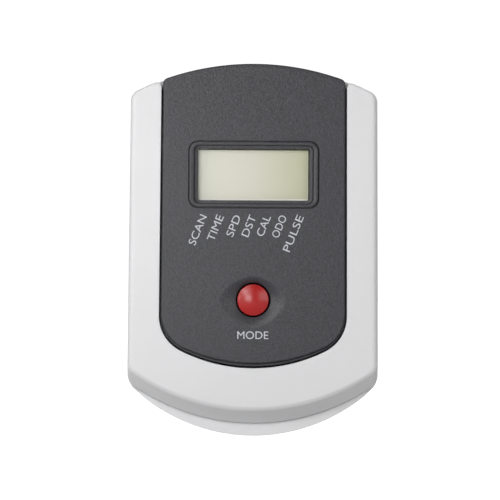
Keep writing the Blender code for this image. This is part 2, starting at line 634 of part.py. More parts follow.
def screws():
    for i, (x, z) in enumerate(CASE_SCREWS):
        screw(f"case_screw_{i + 1}", x, z, -14.0 * MM, 1.8 * MM, 2.75 * MM, 1.3 * MM, 13 * MM)
    for i, (x, z) in enumerate(SOCKET_SCREWS):
        head_y = SOCKET_FRONT_Y + FLANGE_THICK + GAP
        screw(f"socket_screw_{i + 1}", x, z, head_y, 1.8 * MM, 2.75 * MM, 1.3 * MM, 10 * MM)
    for i, (x, z) in enumerate(PCB_SCREWS):
        screw(f"pcb_screw_{i + 1}", x, z, PCB_Y[1] + GAP, 1.3 * MM, 2.1 * MM, 1.0 * MM, 6 * MM)
    for i, (x, z) in enumerate(PANEL_SCREWS):
        head_y = LEDGE_Y + LEDGE_THICK + GAP
        screw(f"panel_screw_{i + 1}", x, z, head_y, 1.3 * MM, 2.1 * MM, 1.0 * MM, 4.2 * MM)


# ---------------------------------------------------------------- display


def display():
    lens = [rectangle(*LENS_SIZE, z=WINDOW_Z)]
    bevel(prism("display_window", lens, *LENS_Y, parts, clear_plastic), 0.15 * MM, 1)
    glass = [rectangle(*GLASS_SIZE, 0.5 * MM, z=WINDOW_Z)]
    front = LENS_Y[1] + GAP
    prism("lcd_front_glass", glass, front, front + GLASS_THICK, parts, lcd_glass)
    rear = front + GLASS_THICK + GAP
    prism("lcd_rear_glass", glass, rear, rear + GLASS_THICK, parts, lcd_glass)
    back = rear + GLASS_THICK + GAP
    foil = [rectangle(GLASS_SIZE[0] - 2 * MM, 17.6 * MM, 0.3 * MM, z=WINDOW_Z)]
    prism("lcd_reflector", foil, back, back + 0.3 * MM, parts, reflector_foil)
    holder = [rectangle(*HOLDER_OUTER, z=WINDOW_Z), rectangle(*HOLDER_INNER, z=WINDOW_Z)]
    prism("lcd_holder", holder, front, PCB_Y[0] - GAP, parts, inner_plastic)
    half_x, half_z = ZEBRA_SIZE[0] / 2, ZEBRA_SIZE[1] / 2
    for place, side in (("upper", 1), ("lower", -1)):
        z = WINDOW_Z + side * ZEBRA_OFFSET_Z
        high = (half_x, PCB_Y[0] - GAP, z + half_z)
        box(f"zebra_strip_{place}", (-half_x, back, z - half_z), high, parts, zebra_rubber)


# ---------------------------------------------------------------- button and electronics


def mode_button():
    """Domed cap with a retaining flange; it slides along Y."""
    apex = PANEL_Y - BUTTON_PROUD
    sphere = (BUTTON_RADIUS**2 + BUTTON_DOME**2) / (2 * BUTTON_DOME)
    reach = math.asin(BUTTON_RADIUS / sphere)
    dome = [reach * i / 6 for i in range(7)]
    profile = [(sphere * math.sin(a), apex + sphere * (1 - math.cos(a))) for a in dome]
    profile[0] = (0, apex)
    near, far = BUTTON_FLANGE_Y
    profile += [(BUTTON_RADIUS, near), (BUTTON_FLANGE_RADIUS, near), (BUTTON_FLANGE_RADIUS, far), (0, far)]
    return smooth(turned("mode_button", profile, 0, BUTTON_Z, red_plastic, steps=32))


def tact_switch():
    half = SWITCH_SIDE / 2
    low = (-half, SWITCH_Y[0], BUTTON_Z - half)
    body = box("tact_switch_body", low, (half, SWITCH_Y[1], BUTTON_Z + half), parts, switch_plastic)
    bore = [(0, SWITCH_Y[0] - 1 * MM, BUTTON_Z), (0, SWITCH_BORE_END, BUTTON_Z)]
    cut(body, rod("switch_bore", SWITCH_BORE_RADIUS, *bore, cutters))
    near, far = PLUNGER_Y
    profile = [(0, near), (PLUNGER_RADIUS - 0.3 * MM, near), (PLUNGER_RADIUS, near + 0.3 * MM)]
    profile += [(PLUNGER_RADIUS, far), (0, far)]
    smooth(turned("tact_switch_plunger", profile, 0, BUTTON_Z, switch_plastic, steps=24))


def circuit_board():
    low = (-PCB_HALF_WIDTH, PCB_Y[0], PCB_Z[0])
    board = box("circuit_board", low, (PCB_HALF_WIDTH, PCB_Y[1], PCB_Z[1]), parts, board_resin)
    for i, (x, z) in enumerate(PCB_SCREWS):
        cut(board, rod(f"board_hole_{i}", 1.4 * MM, (x, -30 * MM, z), (x, -20 * MM, z), cutters, segments=12))
    back = PCB_Y[1] + GAP
    blob = [(6.5, 0), (6.3, 0.5), (5.2, 1.1), (3.2, 1.5), (0, 1.7)]
    blob_profile = [(0, back)] + [(r * MM, back + y * MM) for r, y in blob]
    smooth(turned("chip_blob", blob_profile, -10 * MM, 2 * MM, blob_resin, steps=32))
    can = [(0, 0), (2.5, 0), (2.5, 6.6), (2.1, 7.0), (0, 7.0)]
    can_profile = [(r * MM, back + y * MM) for r, y in can]
    smooth(turned("capacitor", can_profile, 14 * MM, -6 * MM, can_sleeve, steps=24))
    crystal_y, crystal_z = back + 1.0 * MM, 10 * MM
    ends = [(6 * MM, crystal_y, crystal_z), (12 * MM, crystal_y, crystal_z)]
    rod("crystal", 1.0 * MM, *ends, parts, bright_metal)


def jack(name, x):
    """Panel jack: a square body behind the cover with a round nose that shows at the back."""
    deep, shoulder, nose = JACK_Y
    low = (x - JACK_BODY_HALF, deep, JACK_Z - JACK_BODY_HALF)
    body = box(name, low, (x + JACK_BODY_HALF, shoulder, JACK_Z + JACK_BODY_HALF), parts, black_plastic)
    ends = [(x, shoulder - 1 * MM, JACK_Z), (x, nose, JACK_Z)]
    join(body, rod(f"{name}_nose", JACK_NOSE_RADIUS, *ends, cutters))
    bore = [(x, deep + 1 * MM, JACK_Z), (x, 2 * MM, JACK_Z)]
    cut(body, rod(f"{name}_bore", JACK_BORE_RADIUS, *bore, cutters))
    return body


def battery(name, z, side):
    """An AAA cell lying along X, its positive end towards side."""
    inner = BAY_HALF_WIDTH - GAP - CONTACT_THICK - GAP
    tip = side * inner
    base = tip - side * CELL_LENGTH
    shoulder = tip - side * 1.0 * MM
    ends = [(base, CELL_Y, z), (shoulder, CELL_Y, z)]
    cell = rod(name, CELL_RADIUS, *ends, parts, cell_wrap, segments=24)
    bevel(cell, 0.5 * MM, 1)
    nub = [(shoulder - side * 1 * MM, CELL_Y, z), (tip, CELL_Y, z)]
    join(cell, rod(f"{name}_nub", 1.9 * MM, *nub, cutters, segments=20))
    return smooth(cell)


def contact_plate(name, z, side, tail):
    """A sprung-steel plate at the bay's end wall; the one with a tail reaches the lead."""
    outer = side * (BAY_HALF_WIDTH - GAP)
    inner = outer - side * CONTACT_THICK
    low_x, high_x = min(inner, outer), max(inner, outer)
    y0, y1 = CELL_Y - 4.5 * MM, CELL_Y + 4.5 * MM
    plate = box(name, (low_x, y0, z - 4.5 * MM), (high_x, y1, z + 4.5 * MM), parts, bright_metal)
    if tail:
        tail_y = BAY_FRONT_Y - BAY_FLOOR - 1.2 * MM
        tab = [(low_x, tail_y, z - 1.0 * MM), (high_x, y0 + 1 * MM, z + 1.0 * MM)]
        join(plate, box(f"{name}_tail", *tab, cutters))
    return plate


def coil_spring(name, z, side, tail):
    """A contact plate with a tapering coil that presses on a cell's flat end."""
    plate = contact_plate(name, z, side, tail)
    wall_x = BAY_HALF_WIDTH - GAP - CONTACT_THICK
    cell_end = wall_x - GAP - CELL_LENGTH
    wire_radius = 0.4 * MM
    start = side * (wall_x + 0.2 * MM)
    end = side * (GAP + wire_radius - cell_end)
    turns, per_turn = 4, 9
    points = []
    for i in range(turns * per_turn + 1):
        t = i / (turns * per_turn)
        radius = (3.9 - 1.3 * t) * MM
        angle = 2 * math.pi * turns * t
        x = start + (end - start) * t
        points.append((x, CELL_Y + radius * math.cos(angle), z + radius * math.sin(angle)))
    curve = bpy.data.curves.new(f"{name}_coil", "CURVE")
    curve.dimensions = "3D"
    curve.bevel_depth = wire_radius
    curve.bevel_resolution = 2
    curve.use_fill_caps = True
    spline = curve.splines.new("POLY")
    spline.points.add(len(points) - 1)
    for point, place in zip(spline.points, points):
        point.co = (*place, 1)
    join(plate, from_curve(f"{name}_coil", curve, cutters))
    return smooth(plate)


def battery_parts():
    lower, upper = CELL_Z
    battery("battery_upper", upper, 1)
    battery("battery_lower", lower, -1)
    contact_plate("battery_contact_upper", upper, 1, True)
    contact_plate("battery_contact_lower", lower, -1, False)
    coil_spring("battery_spring_upper", upper, -1, True)
    coil_spring("battery_spring_lower", lower, 1, False)


def leads():
    """Internal wires: from the battery contacts and the two jacks to the circuit board."""
    tail_x = (BAY_HALF_WIDTH - GAP - CONTACT_THICK / 2) / MM
    front = PCB_Y[0] / MM - 0.3
    for name, side, surface in (("battery_lead_red", 1, red_wire), ("battery_lead_black", -1, black_wire)):
        route = [(tail_x, -26.9, 50.7), (tail_x + 0.3, -28.6, 49.5), (28.4, -29.0, 46.5), (29.3, -28.6, 43)]
        route += [(29.6, front - 1.2, 40.8), (29.6, front, 40.4)]
        wire(name, [(side * x * MM, y * MM, z * MM) for x, y, z in route], 0.6 * MM, surface)
    for name, side in (("speed_sensor_lead", -1), ("pulse_lead", 1)):
        start_z = (JACK_Z + JACK_BODY_HALF) / MM + 0.3
        route = [(14, -24.0, start_z), (13.4, -24.2, start_z + 2.5), (12.2, -26.4, -35), (11.4, -28.2, -32.5)]
        route += [(11, -28.4, -30.4), (11, front - 0.9, -29.3), (11, front, -29.2)]
        wire(name, [(side * x * MM, y * MM, z * MM) for x, y, z in route], 0.8 * MM, grey_wire)


clear_scene()
parts = new_collection("exercise_bike_console")
cutters = new_collection("cutters")

dark_plastic = material("dark_plastic", (0.085, 0.085, 0.09), 0.55)
white_plastic = material("white_plastic", (0.76, 0.76, 0.77), 0.4)
clear_plastic = material("clear_plastic", (0.95, 0.95, 0.93), 0.05, transmission=0.9)
lcd_glass = material("lcd_glass", (0.62, 0.62, 0.5), 0.2)
reflector_foil = material("reflector_foil", (0.7, 0.7, 0.62), 0.35, 0.6)
inner_plastic = material("inner_plastic", (0.7, 0.7, 0.68), 0.5)
zebra_rubber = material("zebra_rubber", (0.75, 0.55, 0.6), 0.7)
red_plastic = material("red_plastic", (0.38, 0.02, 0.015), 0.15)
switch_plastic = material("switch_plastic", (0.02, 0.02, 0.02), 0.5)
black_plastic = material("black_plastic", (0.02, 0.02, 0.022), 0.45)
board_resin = material("board_resin", (0.05, 0.22, 0.09), 0.45)
blob_resin = material("blob_resin", (0.012, 0.012, 0.013), 0.3)
can_sleeve = material("can_sleeve", (0.03, 0.035, 0.08), 0.35)
bright_metal = material("bright_metal", (0.72, 0.72, 0.7), 0.28, 1.0)
screw_steel = material("screw_steel", (0.35, 0.35, 0.36), 0.35, 1.0)
cell_wrap = material("cell_wrap", (0.12, 0.14, 0.18), 0.3)
red_wire = material("red_wire", (0.5, 0.02, 0.02), 0.4)
black_wire = material("black_wire", (0.015, 0.015, 0.015), 0.4)
grey_wire = material("grey_wire", (0.3, 0.3, 0.31), 0.45)

face_panel()
front_surround()
rear_cover()
battery_door()
bracket_socket()
screws()
display()
mode_button()
tact_switch()
circuit_board()
jack("speed_sensor_jack", -JACK_X)
jack("pulse_jack", JACK_X)
battery_parts()
leads()
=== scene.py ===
"""Looks of the exercise-bike console: surfaces, plastics, display, printed legends and studio."""

import math

import bmesh
import bpy
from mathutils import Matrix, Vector


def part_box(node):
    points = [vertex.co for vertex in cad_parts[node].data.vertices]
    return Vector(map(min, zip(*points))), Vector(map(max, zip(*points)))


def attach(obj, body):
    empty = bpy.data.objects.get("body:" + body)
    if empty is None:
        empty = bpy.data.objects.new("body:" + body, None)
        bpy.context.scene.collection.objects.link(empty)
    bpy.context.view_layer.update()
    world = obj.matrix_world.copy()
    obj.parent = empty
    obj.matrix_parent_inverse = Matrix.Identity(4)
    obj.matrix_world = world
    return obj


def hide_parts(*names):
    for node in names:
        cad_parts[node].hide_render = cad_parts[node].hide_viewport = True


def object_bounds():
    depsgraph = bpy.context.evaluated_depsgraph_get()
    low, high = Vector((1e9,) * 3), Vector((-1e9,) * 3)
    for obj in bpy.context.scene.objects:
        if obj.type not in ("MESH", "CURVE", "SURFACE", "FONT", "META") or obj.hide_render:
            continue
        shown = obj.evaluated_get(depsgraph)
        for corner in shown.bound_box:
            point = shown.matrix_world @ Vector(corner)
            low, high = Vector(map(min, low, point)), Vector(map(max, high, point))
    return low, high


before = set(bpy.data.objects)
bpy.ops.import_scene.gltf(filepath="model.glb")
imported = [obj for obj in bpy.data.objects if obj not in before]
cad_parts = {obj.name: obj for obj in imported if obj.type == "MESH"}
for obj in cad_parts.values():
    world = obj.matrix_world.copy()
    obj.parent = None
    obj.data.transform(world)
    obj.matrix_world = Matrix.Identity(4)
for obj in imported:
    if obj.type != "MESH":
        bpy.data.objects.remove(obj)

MM = 0.001
cad_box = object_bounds()

# ---------------------------------------------------------------- sizes, read from the frame

PANEL_LOW, PANEL_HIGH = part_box("face_panel")
SURROUND_LOW, SURROUND_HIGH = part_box("front_surround")
COVER_LOW, COVER_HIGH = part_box("rear_cover")
DOOR_LOW, DOOR_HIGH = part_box("battery_door")
SOCKET_LOW, SOCKET_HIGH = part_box("bracket_socket")
LENS_LOW, LENS_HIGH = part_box("display_window")
BUTTON_LOW, BUTTON_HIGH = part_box("mode_button")

HINGE_PIN_RADIUS = 0.4 * MM
HINGE_PIN_REACH = 1.2 * MM
HINGE_PLAY = 0.15 * MM
DOOR_HALF = DOOR_HIGH.x - HINGE_PIN_REACH

GAP = 0.3 * MM
WALL = 2.0 * MM
TOP_Z = PANEL_HIGH.z
TOP_RADIUS = 103.0 * MM
SIDE_TAPER = 0.008
HALF_WIDTH = SURROUND_HIGH.x - 0.37 * MM
TOP_CORNER = 4.3 * MM
BOTTOM_CORNER = 7.0 * MM
CHIN_CORNER = 5.0 * MM
CHIN_Z = SURROUND_LOW.z
CHIN_TOP_Z = CHIN_Z + 5.8 * MM
CHIN_RADIUS = 82.7 * MM
COVER_Z = COVER_LOW.z
COVER_RADIUS = 68.9 * MM
LIP_HALF_WIDTH = 44.0 * MM
LIP_GAP = 0.02 * MM

PANEL_Y = PANEL_LOW.y
FACE_Y = SURROUND_LOW.y
REAR_RIM_Y = SURROUND_HIGH.y
PARTING_Y = SURROUND_HIGH.y + GAP
LIP_Y = COVER_LOW.y
BACK_Y = COVER_HIGH.y
PANEL_HALF = PANEL_HIGH.x
PANEL_HALF_TOP = PANEL_HALF - 0.55 * MM
PANEL_LOW_Z = PANEL_LOW.z
PANEL_LOW_RADIUS = 62.4 * MM
PANEL_LOW_CORNER = 14.5 * MM
PANEL_TOP_CORNER = 2.2 * MM
PANEL_INSIDE_Y = PANEL_Y + 2.2 * MM
TOP_WALL_DROP = 9 * MM
SKIRT_Y = PANEL_Y + 3.8 * MM
SEAM = 0.6 * MM

WINDOW_X = (LENS_LOW.x + LENS_HIGH.x) / 2
WINDOW_Z = (LENS_LOW.z + LENS_HIGH.z) / 2
WINDOW_RING = (50.7 * MM, 26.1 * MM, 3.9 * MM)
WINDOW_LEDGE = (46.8 * MM, 23.4 * MM, 2.7 * MM)
WINDOW_OPENING = (43.5 * MM, 20.1 * MM, 0.8 * MM)
RING_OUTSET = 0.2 * MM
RING_STEPS = [  # inset and depth in mm: a groove, then a low ridge
    (0.0, 0.0), (0.04, 0.08), (0.08, 1.5), (0.46, 1.5), (0.5, 0.08),
    (0.6, -0.05), (0.9, -0.12), (1.3, -0.12), (1.65, -0.05),
]
LEDGE_STEPS = [(-0.05, 0.05), (0.0, 0.2), (0.04, 1.9), (0.36, 1.9), (0.4, 1.45), (0.46, 1.4)]
OPENING_STEPS = [(-0.3, 1.45), (-0.08, 1.5), (0.0, 1.7)]

BUTTON_Z = (BUTTON_LOW.z + BUTTON_HIGH.z) / 2
BUTTON_RADIUS = 6.1 * MM
BUTTON_HOLE = 6.75 * MM
BUTTON_COLLAR = 6.2 * MM
BUTTON_RISE = 1.5 * MM
BUTTON_SHOULDER = 0.35 * MM
GUIDE_WALL = 2.1 * MM
GUIDE_LENGTH = 1.2 * MM
DISH_HALF = (13.2 * MM, 9.4 * MM, 11.0 * MM)  # to each side, upwards, downwards
DISH_DEPTH = 1.8 * MM
DISH_RINGS = 18
DISH_POINTS = 96
LIP_RAISE = 1.05 * MM
RIM_GROOVE = [  # share of LIP_RAISE, inset and depth in mm: a groove and a fine ridge under the face
    (0.97, 0.24, 1.9), (0.66, 0.2, 1.9), (0.62, 0.18, 0.75), (0.56, 0.16, 0.6),
    (0.3, 0.05, 0.6), (0.2, 0.0, 0.8), (0.1, 0.0, 1.6),
]

SCREW_BORE = 1.6 * MM
COUNTERBORE = 3.1 * MM
COUNTERBORE_Y = -14.3 * MM
POST_RADIUS = 4.6 * MM
BAY_HALF = 27.7 * MM
CELL_PLAY = 0.65 * MM
JACK_NOSE = 4.0 * MM
SCREWS_CASE = [f"case_screw_{i}" for i in range(1, 5)]
SCREWS_SOCKET = [f"socket_screw_{i}" for i in range(1, 5)]
JACKS = ("speed_sensor_jack", "pulse_jack")

ARC_STEPS = 56
CORNER_STEPS = 10


# ---------------------------------------------------------------- outlines in the X-Z plane


def half_width(z):
    return HALF_WIDTH - SIDE_TAPER * z


def arc(radius, apex_z, half, side, corner=0.0):
    """Entries for rounded() along a circle whose apex is at apex_z, with rounded corners at its ends.
    side is 1 for a top arc, which bulges up and runs right to left, and -1 for a bottom arc."""
    reach = math.asin(half / radius)
    trim = 1.2 * corner * math.tan((math.pi / 2 - reach) / 2) / radius
    inner = reach - trim
    angles = [inner - 2 * inner * i / ARC_STEPS for i in range(ARC_STEPS + 1)]
    if corner:
        angles = [reach] + angles + [-reach]
    radii = [corner] + [0] * (len(angles) - 2) + [corner]
    signed = side * radius
    centre = apex_z - signed
    return [(signed * math.sin(a), centre + signed * math.cos(a), r) for a, r in zip(angles, radii)]


def rounded(corners):
    """A closed outline from (x, z, corner radius) entries."""
    points = []
    count = len(corners)
    for i, (x, z, radius) in enumerate(corners):
        here = Vector((x, z))
        if radius == 0:
            points.append((x, z))
            continue
        before = (Vector(corners[i - 1][:2]) - here).normalized()
        after = (Vector(corners[(i + 1) % count][:2]) - here).normalized()
        half = before.angle(after) / 2
        reach = radius / math.tan(half)
        centre = here + (before + after).normalized() * radius / math.sin(half)
        start = here + before * reach - centre
        turn = start.angle_signed(here + after * reach - centre)
        for step in range(CORNER_STEPS + 1):
            angle = -turn * step / CORNER_STEPS
            c, s = math.cos(angle), math.sin(angle)
            turned_x = centre.x + c * start.x - s * start.y
            turned_z = centre.y + s * start.x + c * start.y
            points.append((turned_x, turned_z))
    return points


def rectangle(width, height, radius, x=0.0, z=0.0):
    w, h = width / 2, height / 2
    corners = [(x + w, z + h), (x - w, z + h), (x - w, z - h), (x + w, z - h)]
    return rounded([(*corner, radius) for corner in corners])


def circle(radius, x=0.0, z=0.0, count=96):
    angles = [2 * math.pi * i / count for i in range(count)]
    return [(x + radius * math.cos(a), z + radius * math.sin(a)) for a in angles]


def panel_outline(inset, top_inset=None, low_raise=0.0):
    """low_raise lifts the lowest point only, so the strip that it leaves tapers towards the sides."""
    top_inset = inset if top_inset is None else top_inset
    top_corner = max(PANEL_TOP_CORNER - inset, 0.6 * MM)
    top = arc(TOP_RADIUS - top_inset, TOP_Z - top_inset, PANEL_HALF_TOP - inset, 1, top_corner)
    low_corner = PANEL_LOW_CORNER - inset
    low_radius = PANEL_LOW_RADIUS - inset + 3.0 * low_raise
    low = arc(low_radius, PANEL_LOW_Z + inset + low_raise, PANEL_HALF - inset, -1, low_corner)
    return rounded(top + low)


def body_outline(side_inset, top_inset, apex_z, radius, corner=BOTTOM_CORNER):
    top_half = half_width(TOP_Z * 0.8) - side_inset
    low_half = half_width(apex_z * 0.75) - side_inset
    top_corner = max(TOP_CORNER - top_inset, 1 * MM)
    top = arc(TOP_RADIUS - top_inset, TOP_Z - top_inset, top_half, 1, top_corner)
    return rounded(top + arc(radius, apex_z, low_half, -1, corner))


def surround_outline(side_inset, top_inset, apex_z, outset):
    """The white U: clockwise round the outside from the right arm's inner shoulder, then the pocket."""
    radius, centre = TOP_RADIUS - top_inset, TOP_Z - TOP_RADIUS
    corner = max(TOP_CORNER - top_inset, 1 * MM)
    inner_half = PANEL_HALF_TOP + outset
    outer_half = half_width(TOP_Z * 0.8) - side_inset
    spread = [inner_half + (outer_half - 1.4 * corner - inner_half) * i / 8 for i in range(9)]
    first = (inner_half, centre + math.sqrt(radius**2 - inner_half**2), 1.8 * MM)
    last = (outer_half, centre + math.sqrt(radius**2 - outer_half**2), corner)
    arm = [first] + [(x, centre + math.sqrt(radius**2 - x * x), 0) for x in spread[4:]] + [last]
    low_half = half_width(apex_z * 0.75) - side_inset
    chin = arc(CHIN_RADIUS, apex_z, low_half, -1, CHIN_CORNER - side_inset)[::-1]
    low_corner = PANEL_LOW_CORNER + outset
    pocket = arc(PANEL_LOW_RADIUS + outset, PANEL_LOW_Z - outset, PANEL_HALF + outset, -1, low_corner)
    left = [(-x, z, r) for x, z, r in reversed(arm)]
    return rounded(arm + chin + left + pocket)


# ---------------------------------------------------------------- mesh helpers


def finish_mesh(name, mesh, surface, angle=35):
    bmesh.ops.recalc_face_normals(mesh, faces=mesh.faces)
    data = bpy.data.meshes.new(name)
    mesh.to_mesh(data)
    mesh.free()
    data.shade_smooth()
    data.set_sharp_from_angle(angle=math.radians(angle))
    obj = bpy.data.objects.new(name, data)
    bpy.context.scene.collection.objects.link(obj)
    if surface:
        data.materials.append(surface)
    return obj


def ring(mesh, outline, depth):
    """Vertices of an outline; depth is one Y for all of them or one for each."""
    depths = depth if isinstance(depth, list) else [depth] * len(outline)
    return [mesh.verts.new((x, y, z)) for (x, z), y in zip(outline, depths)]


def bridge(mesh, near, far):
    for i in range(len(near)):
        mesh.faces.new((near[i - 1], near[i], far[i], far[i - 1]))


def bridge_all(mesh, rings):
    for near, far in zip(rings, rings[1:]):
        bridge(mesh, near, far)


def fill(mesh, *rings):
    """A flat face inside the first ring, with the other rings as holes."""
    edges = []
    for loop in rings:
        for i in range(len(loop)):
            edges.append(mesh.edges.get((loop[i - 1], loop[i])) or mesh.edges.new((loop[i - 1], loop[i])))
    bmesh.ops.triangle_fill(mesh, use_beauty=True, use_dissolve=False, edges=edges)


def loft(name, sections, surface=None):
    mesh = bmesh.new()
    rings = [ring(mesh, outline, y) for y, outline in sections]
    bridge_all(mesh, rings)
    fill(mesh, rings[0])
    fill(mesh, rings[-1])
    return finish_mesh(name, mesh, surface)


def even_normals(obj):
    """Keeps flat faces flat beside their small fillets."""
    step = obj.modifiers.new("Even normals", "WEIGHTED_NORMAL")
    step.keep_sharp = True
    step.weight = 90
    return obj


def bevel(obj, width, segments=2):
    step = obj.modifiers.new("Bevel", "BEVEL")
    step.width = width
    step.segments = segments
    step.limit_method = "ANGLE"
    step.angle_limit = math.radians(35)
    step.use_clamp_overlap = True
    return obj


def box(name, low, high, surface=None):
    mesh = bmesh.new()
    bmesh.ops.create_cube(mesh, size=1)
    size, middle = Vector(high) - Vector(low), (Vector(high) + Vector(low)) / 2
    bmesh.ops.scale(mesh, vec=size, verts=mesh.verts)
    bmesh.ops.translate(mesh, vec=middle, verts=mesh.verts)
    return finish_mesh(name, mesh, surface)


def turned(name, profile, x, z, surface=None, steps=64, angle=35):
    """A solid turned about an axis along Y, from a (radius, y) profile that starts and ends on the axis."""
    mesh = bmesh.new()
    rings = [ring(mesh, circle(radius, x, z, steps), y) for radius, y in profile[1:-1]]
    bridge_all(mesh, rings)
    for tip, loop in ((profile[0], rings[0]), (profile[-1], rings[-1])):
        point = mesh.verts.new((x, tip[1], z))
        for i in range(steps):
            mesh.faces.new((loop[i - 1], loop[i], point))
    return finish_mesh(name, mesh, surface, angle)


def apply_modifiers(obj):
    evaluated = obj.evaluated_get(bpy.context.evaluated_depsgraph_get())
    data = bpy.data.meshes.new_from_object(evaluated)
    obj.modifiers.clear()
    obj.data = data
    return obj


def carve(obj, tools, operation="DIFFERENCE", angle=35):
    """Cuts the tools out of obj, or joins them to it, and removes them."""
    for tool in tools:
        step = obj.modifiers.new("Carve", "BOOLEAN")
        step.operation = operation
        step.object = tool
        step.solver = "EXACT"
    apply_modifiers(obj)
    for tool in tools:
        bpy.data.objects.remove(tool)
    obj.data.shade_smooth()
    obj.data.set_sharp_from_angle(angle=math.radians(angle))
    return obj


def quarter(radius, steps):
    """(inset, depth) pairs of a quarter-round edge, from the face to the side wall."""
    angles = [math.pi / 2 * i / steps for i in range(steps + 1)]
    return [(radius * (1 - math.sin(a)), radius * (1 - math.cos(a))) for a in angles]


def middle_of(name):
    """x and z of the middle of a CAD node."""
    low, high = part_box(name)
    return (low.x + high.x) / 2, (low.z + high.z) / 2


# ---------------------------------------------------------------- materials


def shader_of(name):
    made = bpy.data.materials.new(name)
    made.use_nodes = True
    tree = made.node_tree
    return made, tree, tree.nodes["Principled BSDF"]


def link(tree, output, socket):
    tree.links.new(output, socket)


def object_coords(tree):
    return tree.nodes.new("ShaderNodeTexCoord").outputs["Object"]


def noise(tree, scale, detail=2.0, roughness=0.5):
    node = tree.nodes.new("ShaderNodeTexNoise")
    node.inputs["Scale"].default_value = scale
    node.inputs["Detail"].default_value = detail
    node.inputs["Roughness"].default_value = roughness
    link(tree, object_coords(tree), node.inputs["Vector"])
    return node.outputs["Fac"]


def map_range(tree, value, low, high, new_low, new_high):
    node = tree.nodes.new("ShaderNodeMapRange")
    link(tree, value, node.inputs["Value"])
    for name, number in zip(("From Min", "From Max", "To Min", "To Max"), (low, high, new_low, new_high)):
        node.inputs[name].default_value = number
    return node.outputs["Result"]


def blend_colours(tree, factor, first, second):
    """A colour between first and second; each is a colour or a socket."""
    node = tree.nodes.new("ShaderNodeMix")
    node.data_type = "RGBA"
    link(tree, factor, node.inputs["Factor"])
    for socket, colour in ((node.inputs["A"], first), (node.inputs["B"], second)):
        if isinstance(colour, tuple):
            socket.default_value = (*colour, 1)
        else:
            link(tree, colour, socket)
    return node.outputs["Result"]


def bump(tree, shader, height, strength, distance):
    node = tree.nodes.new("ShaderNodeBump")
    node.inputs["Strength"].default_value = strength
    node.inputs["Distance"].default_value = distance
    link(tree, height, node.inputs["Height"])
    link(tree, node.outputs["Normal"], shader.inputs["Normal"])


def plastic(name, colour, roughness, grain_mm, grain_depth_mm, spread=0.04, coat=0.0,
            coat_roughness=0.06, specular=0.5, painted_grain_sheen=0.0):
    """Moulded plastic: a colour that drifts by spread, a grain, and gloss that varies with the grain.
    Its last argument makes the grain's high points paler in colour: a painted sheen on the grain."""
    made, tree, shader = shader_of(name)
    drift = map_range(tree, noise(tree, 45.0, 3.0), 0.3, 0.7, 0.0, 1.0)
    darker = tuple(c * (1 - spread) for c in colour)
    lighter = tuple(min(c * (1 + spread), 1) for c in colour)
    grain = noise(tree, 1 / (grain_mm * MM), 2.0, 0.6)
    base = blend_colours(tree, drift, darker, lighter)
    # painted sheen: paler colour on the grain's high points, where light would catch them
    if painted_grain_sheen:
        pale = tuple(c * (1 + 2 * painted_grain_sheen) for c in colour)
        base = blend_colours(tree, map_range(tree, grain, 0.3, 0.7, 0, 1), base, pale)
    link(tree, base, shader.inputs["Base Color"])
    gloss = map_range(tree, grain, 0.3, 0.7, roughness * 0.9, min(roughness * 1.1, 1))
    link(tree, gloss, shader.inputs["Roughness"])
    shader.inputs["Specular IOR Level"].default_value = specular
    shader.inputs["Coat Weight"].default_value = coat
    shader.inputs["Coat Roughness"].default_value = coat_roughness
    shader.inputs["Coat IOR"].default_value = 1.6
    bump(tree, shader, grain, 0.35, grain_depth_mm * MM)
    return made


def metal(name, colour, roughness, brushed=400.0):
    """Plated metal with streaks along Y; brushed is how many there are to the metre."""
    made, tree, shader = shader_of(name)
    mapping = tree.nodes.new("ShaderNodeMapping")
    mapping.inputs["Scale"].default_value = (brushed, brushed * 8, brushed)
    link(tree, object_coords(tree), mapping.inputs["Vector"])
    streak = tree.nodes.new("ShaderNodeTexNoise")
    streak.inputs["Scale"].default_value = 1.0
    streak.inputs["Detail"].default_value = 4.0
    link(tree, mapping.outputs["Vector"], streak.inputs["Vector"])
    fac = streak.outputs["Fac"]
    darker = tuple(c * 0.8 for c in colour)
    link(tree, blend_colours(tree, fac, darker, colour), shader.inputs["Base Color"])
    gloss = map_range(tree, fac, 0.3, 0.7, roughness * 0.75, roughness * 1.3)
    link(tree, gloss, shader.inputs["Roughness"])
    shader.inputs["Metallic"].default_value = 1.0
    bump(tree, shader, fac, 0.1, 0.02 * MM)
    return made


def strongest(tree, *values):
    """The largest of several values."""
    result = values[0]
    for value in values[1:]:
        node = tree.nodes.new("ShaderNodeMath")
        node.operation = "MAXIMUM"
        link(tree, result, node.inputs[0])
        link(tree, value, node.inputs[1])
        result = node.outputs["Value"]
    return result


# The display's colours from left to right: paler to the left and darker to the right, a painted sheen and
# painted shade of the light that comes from the left.
LCD_LEFT = (0.75, 0.755, 0.65)
LCD_MIDDLE = (0.715, 0.70, 0.59)
LCD_SHADE = (0.63, 0.63, 0.48)
LCD_RIGHT = (0.55, 0.56, 0.38)
# Painted highlight and painted shadow for the thin lines at the display glass's edges, where light catches
# the edge and the opening's walls cast shadow.
EDGE_PAINTED_HIGHLIGHT = (0.92, 0.92, 0.84)
EDGE_PAINTED_SHADOW = (0.02, 0.02, 0.01)


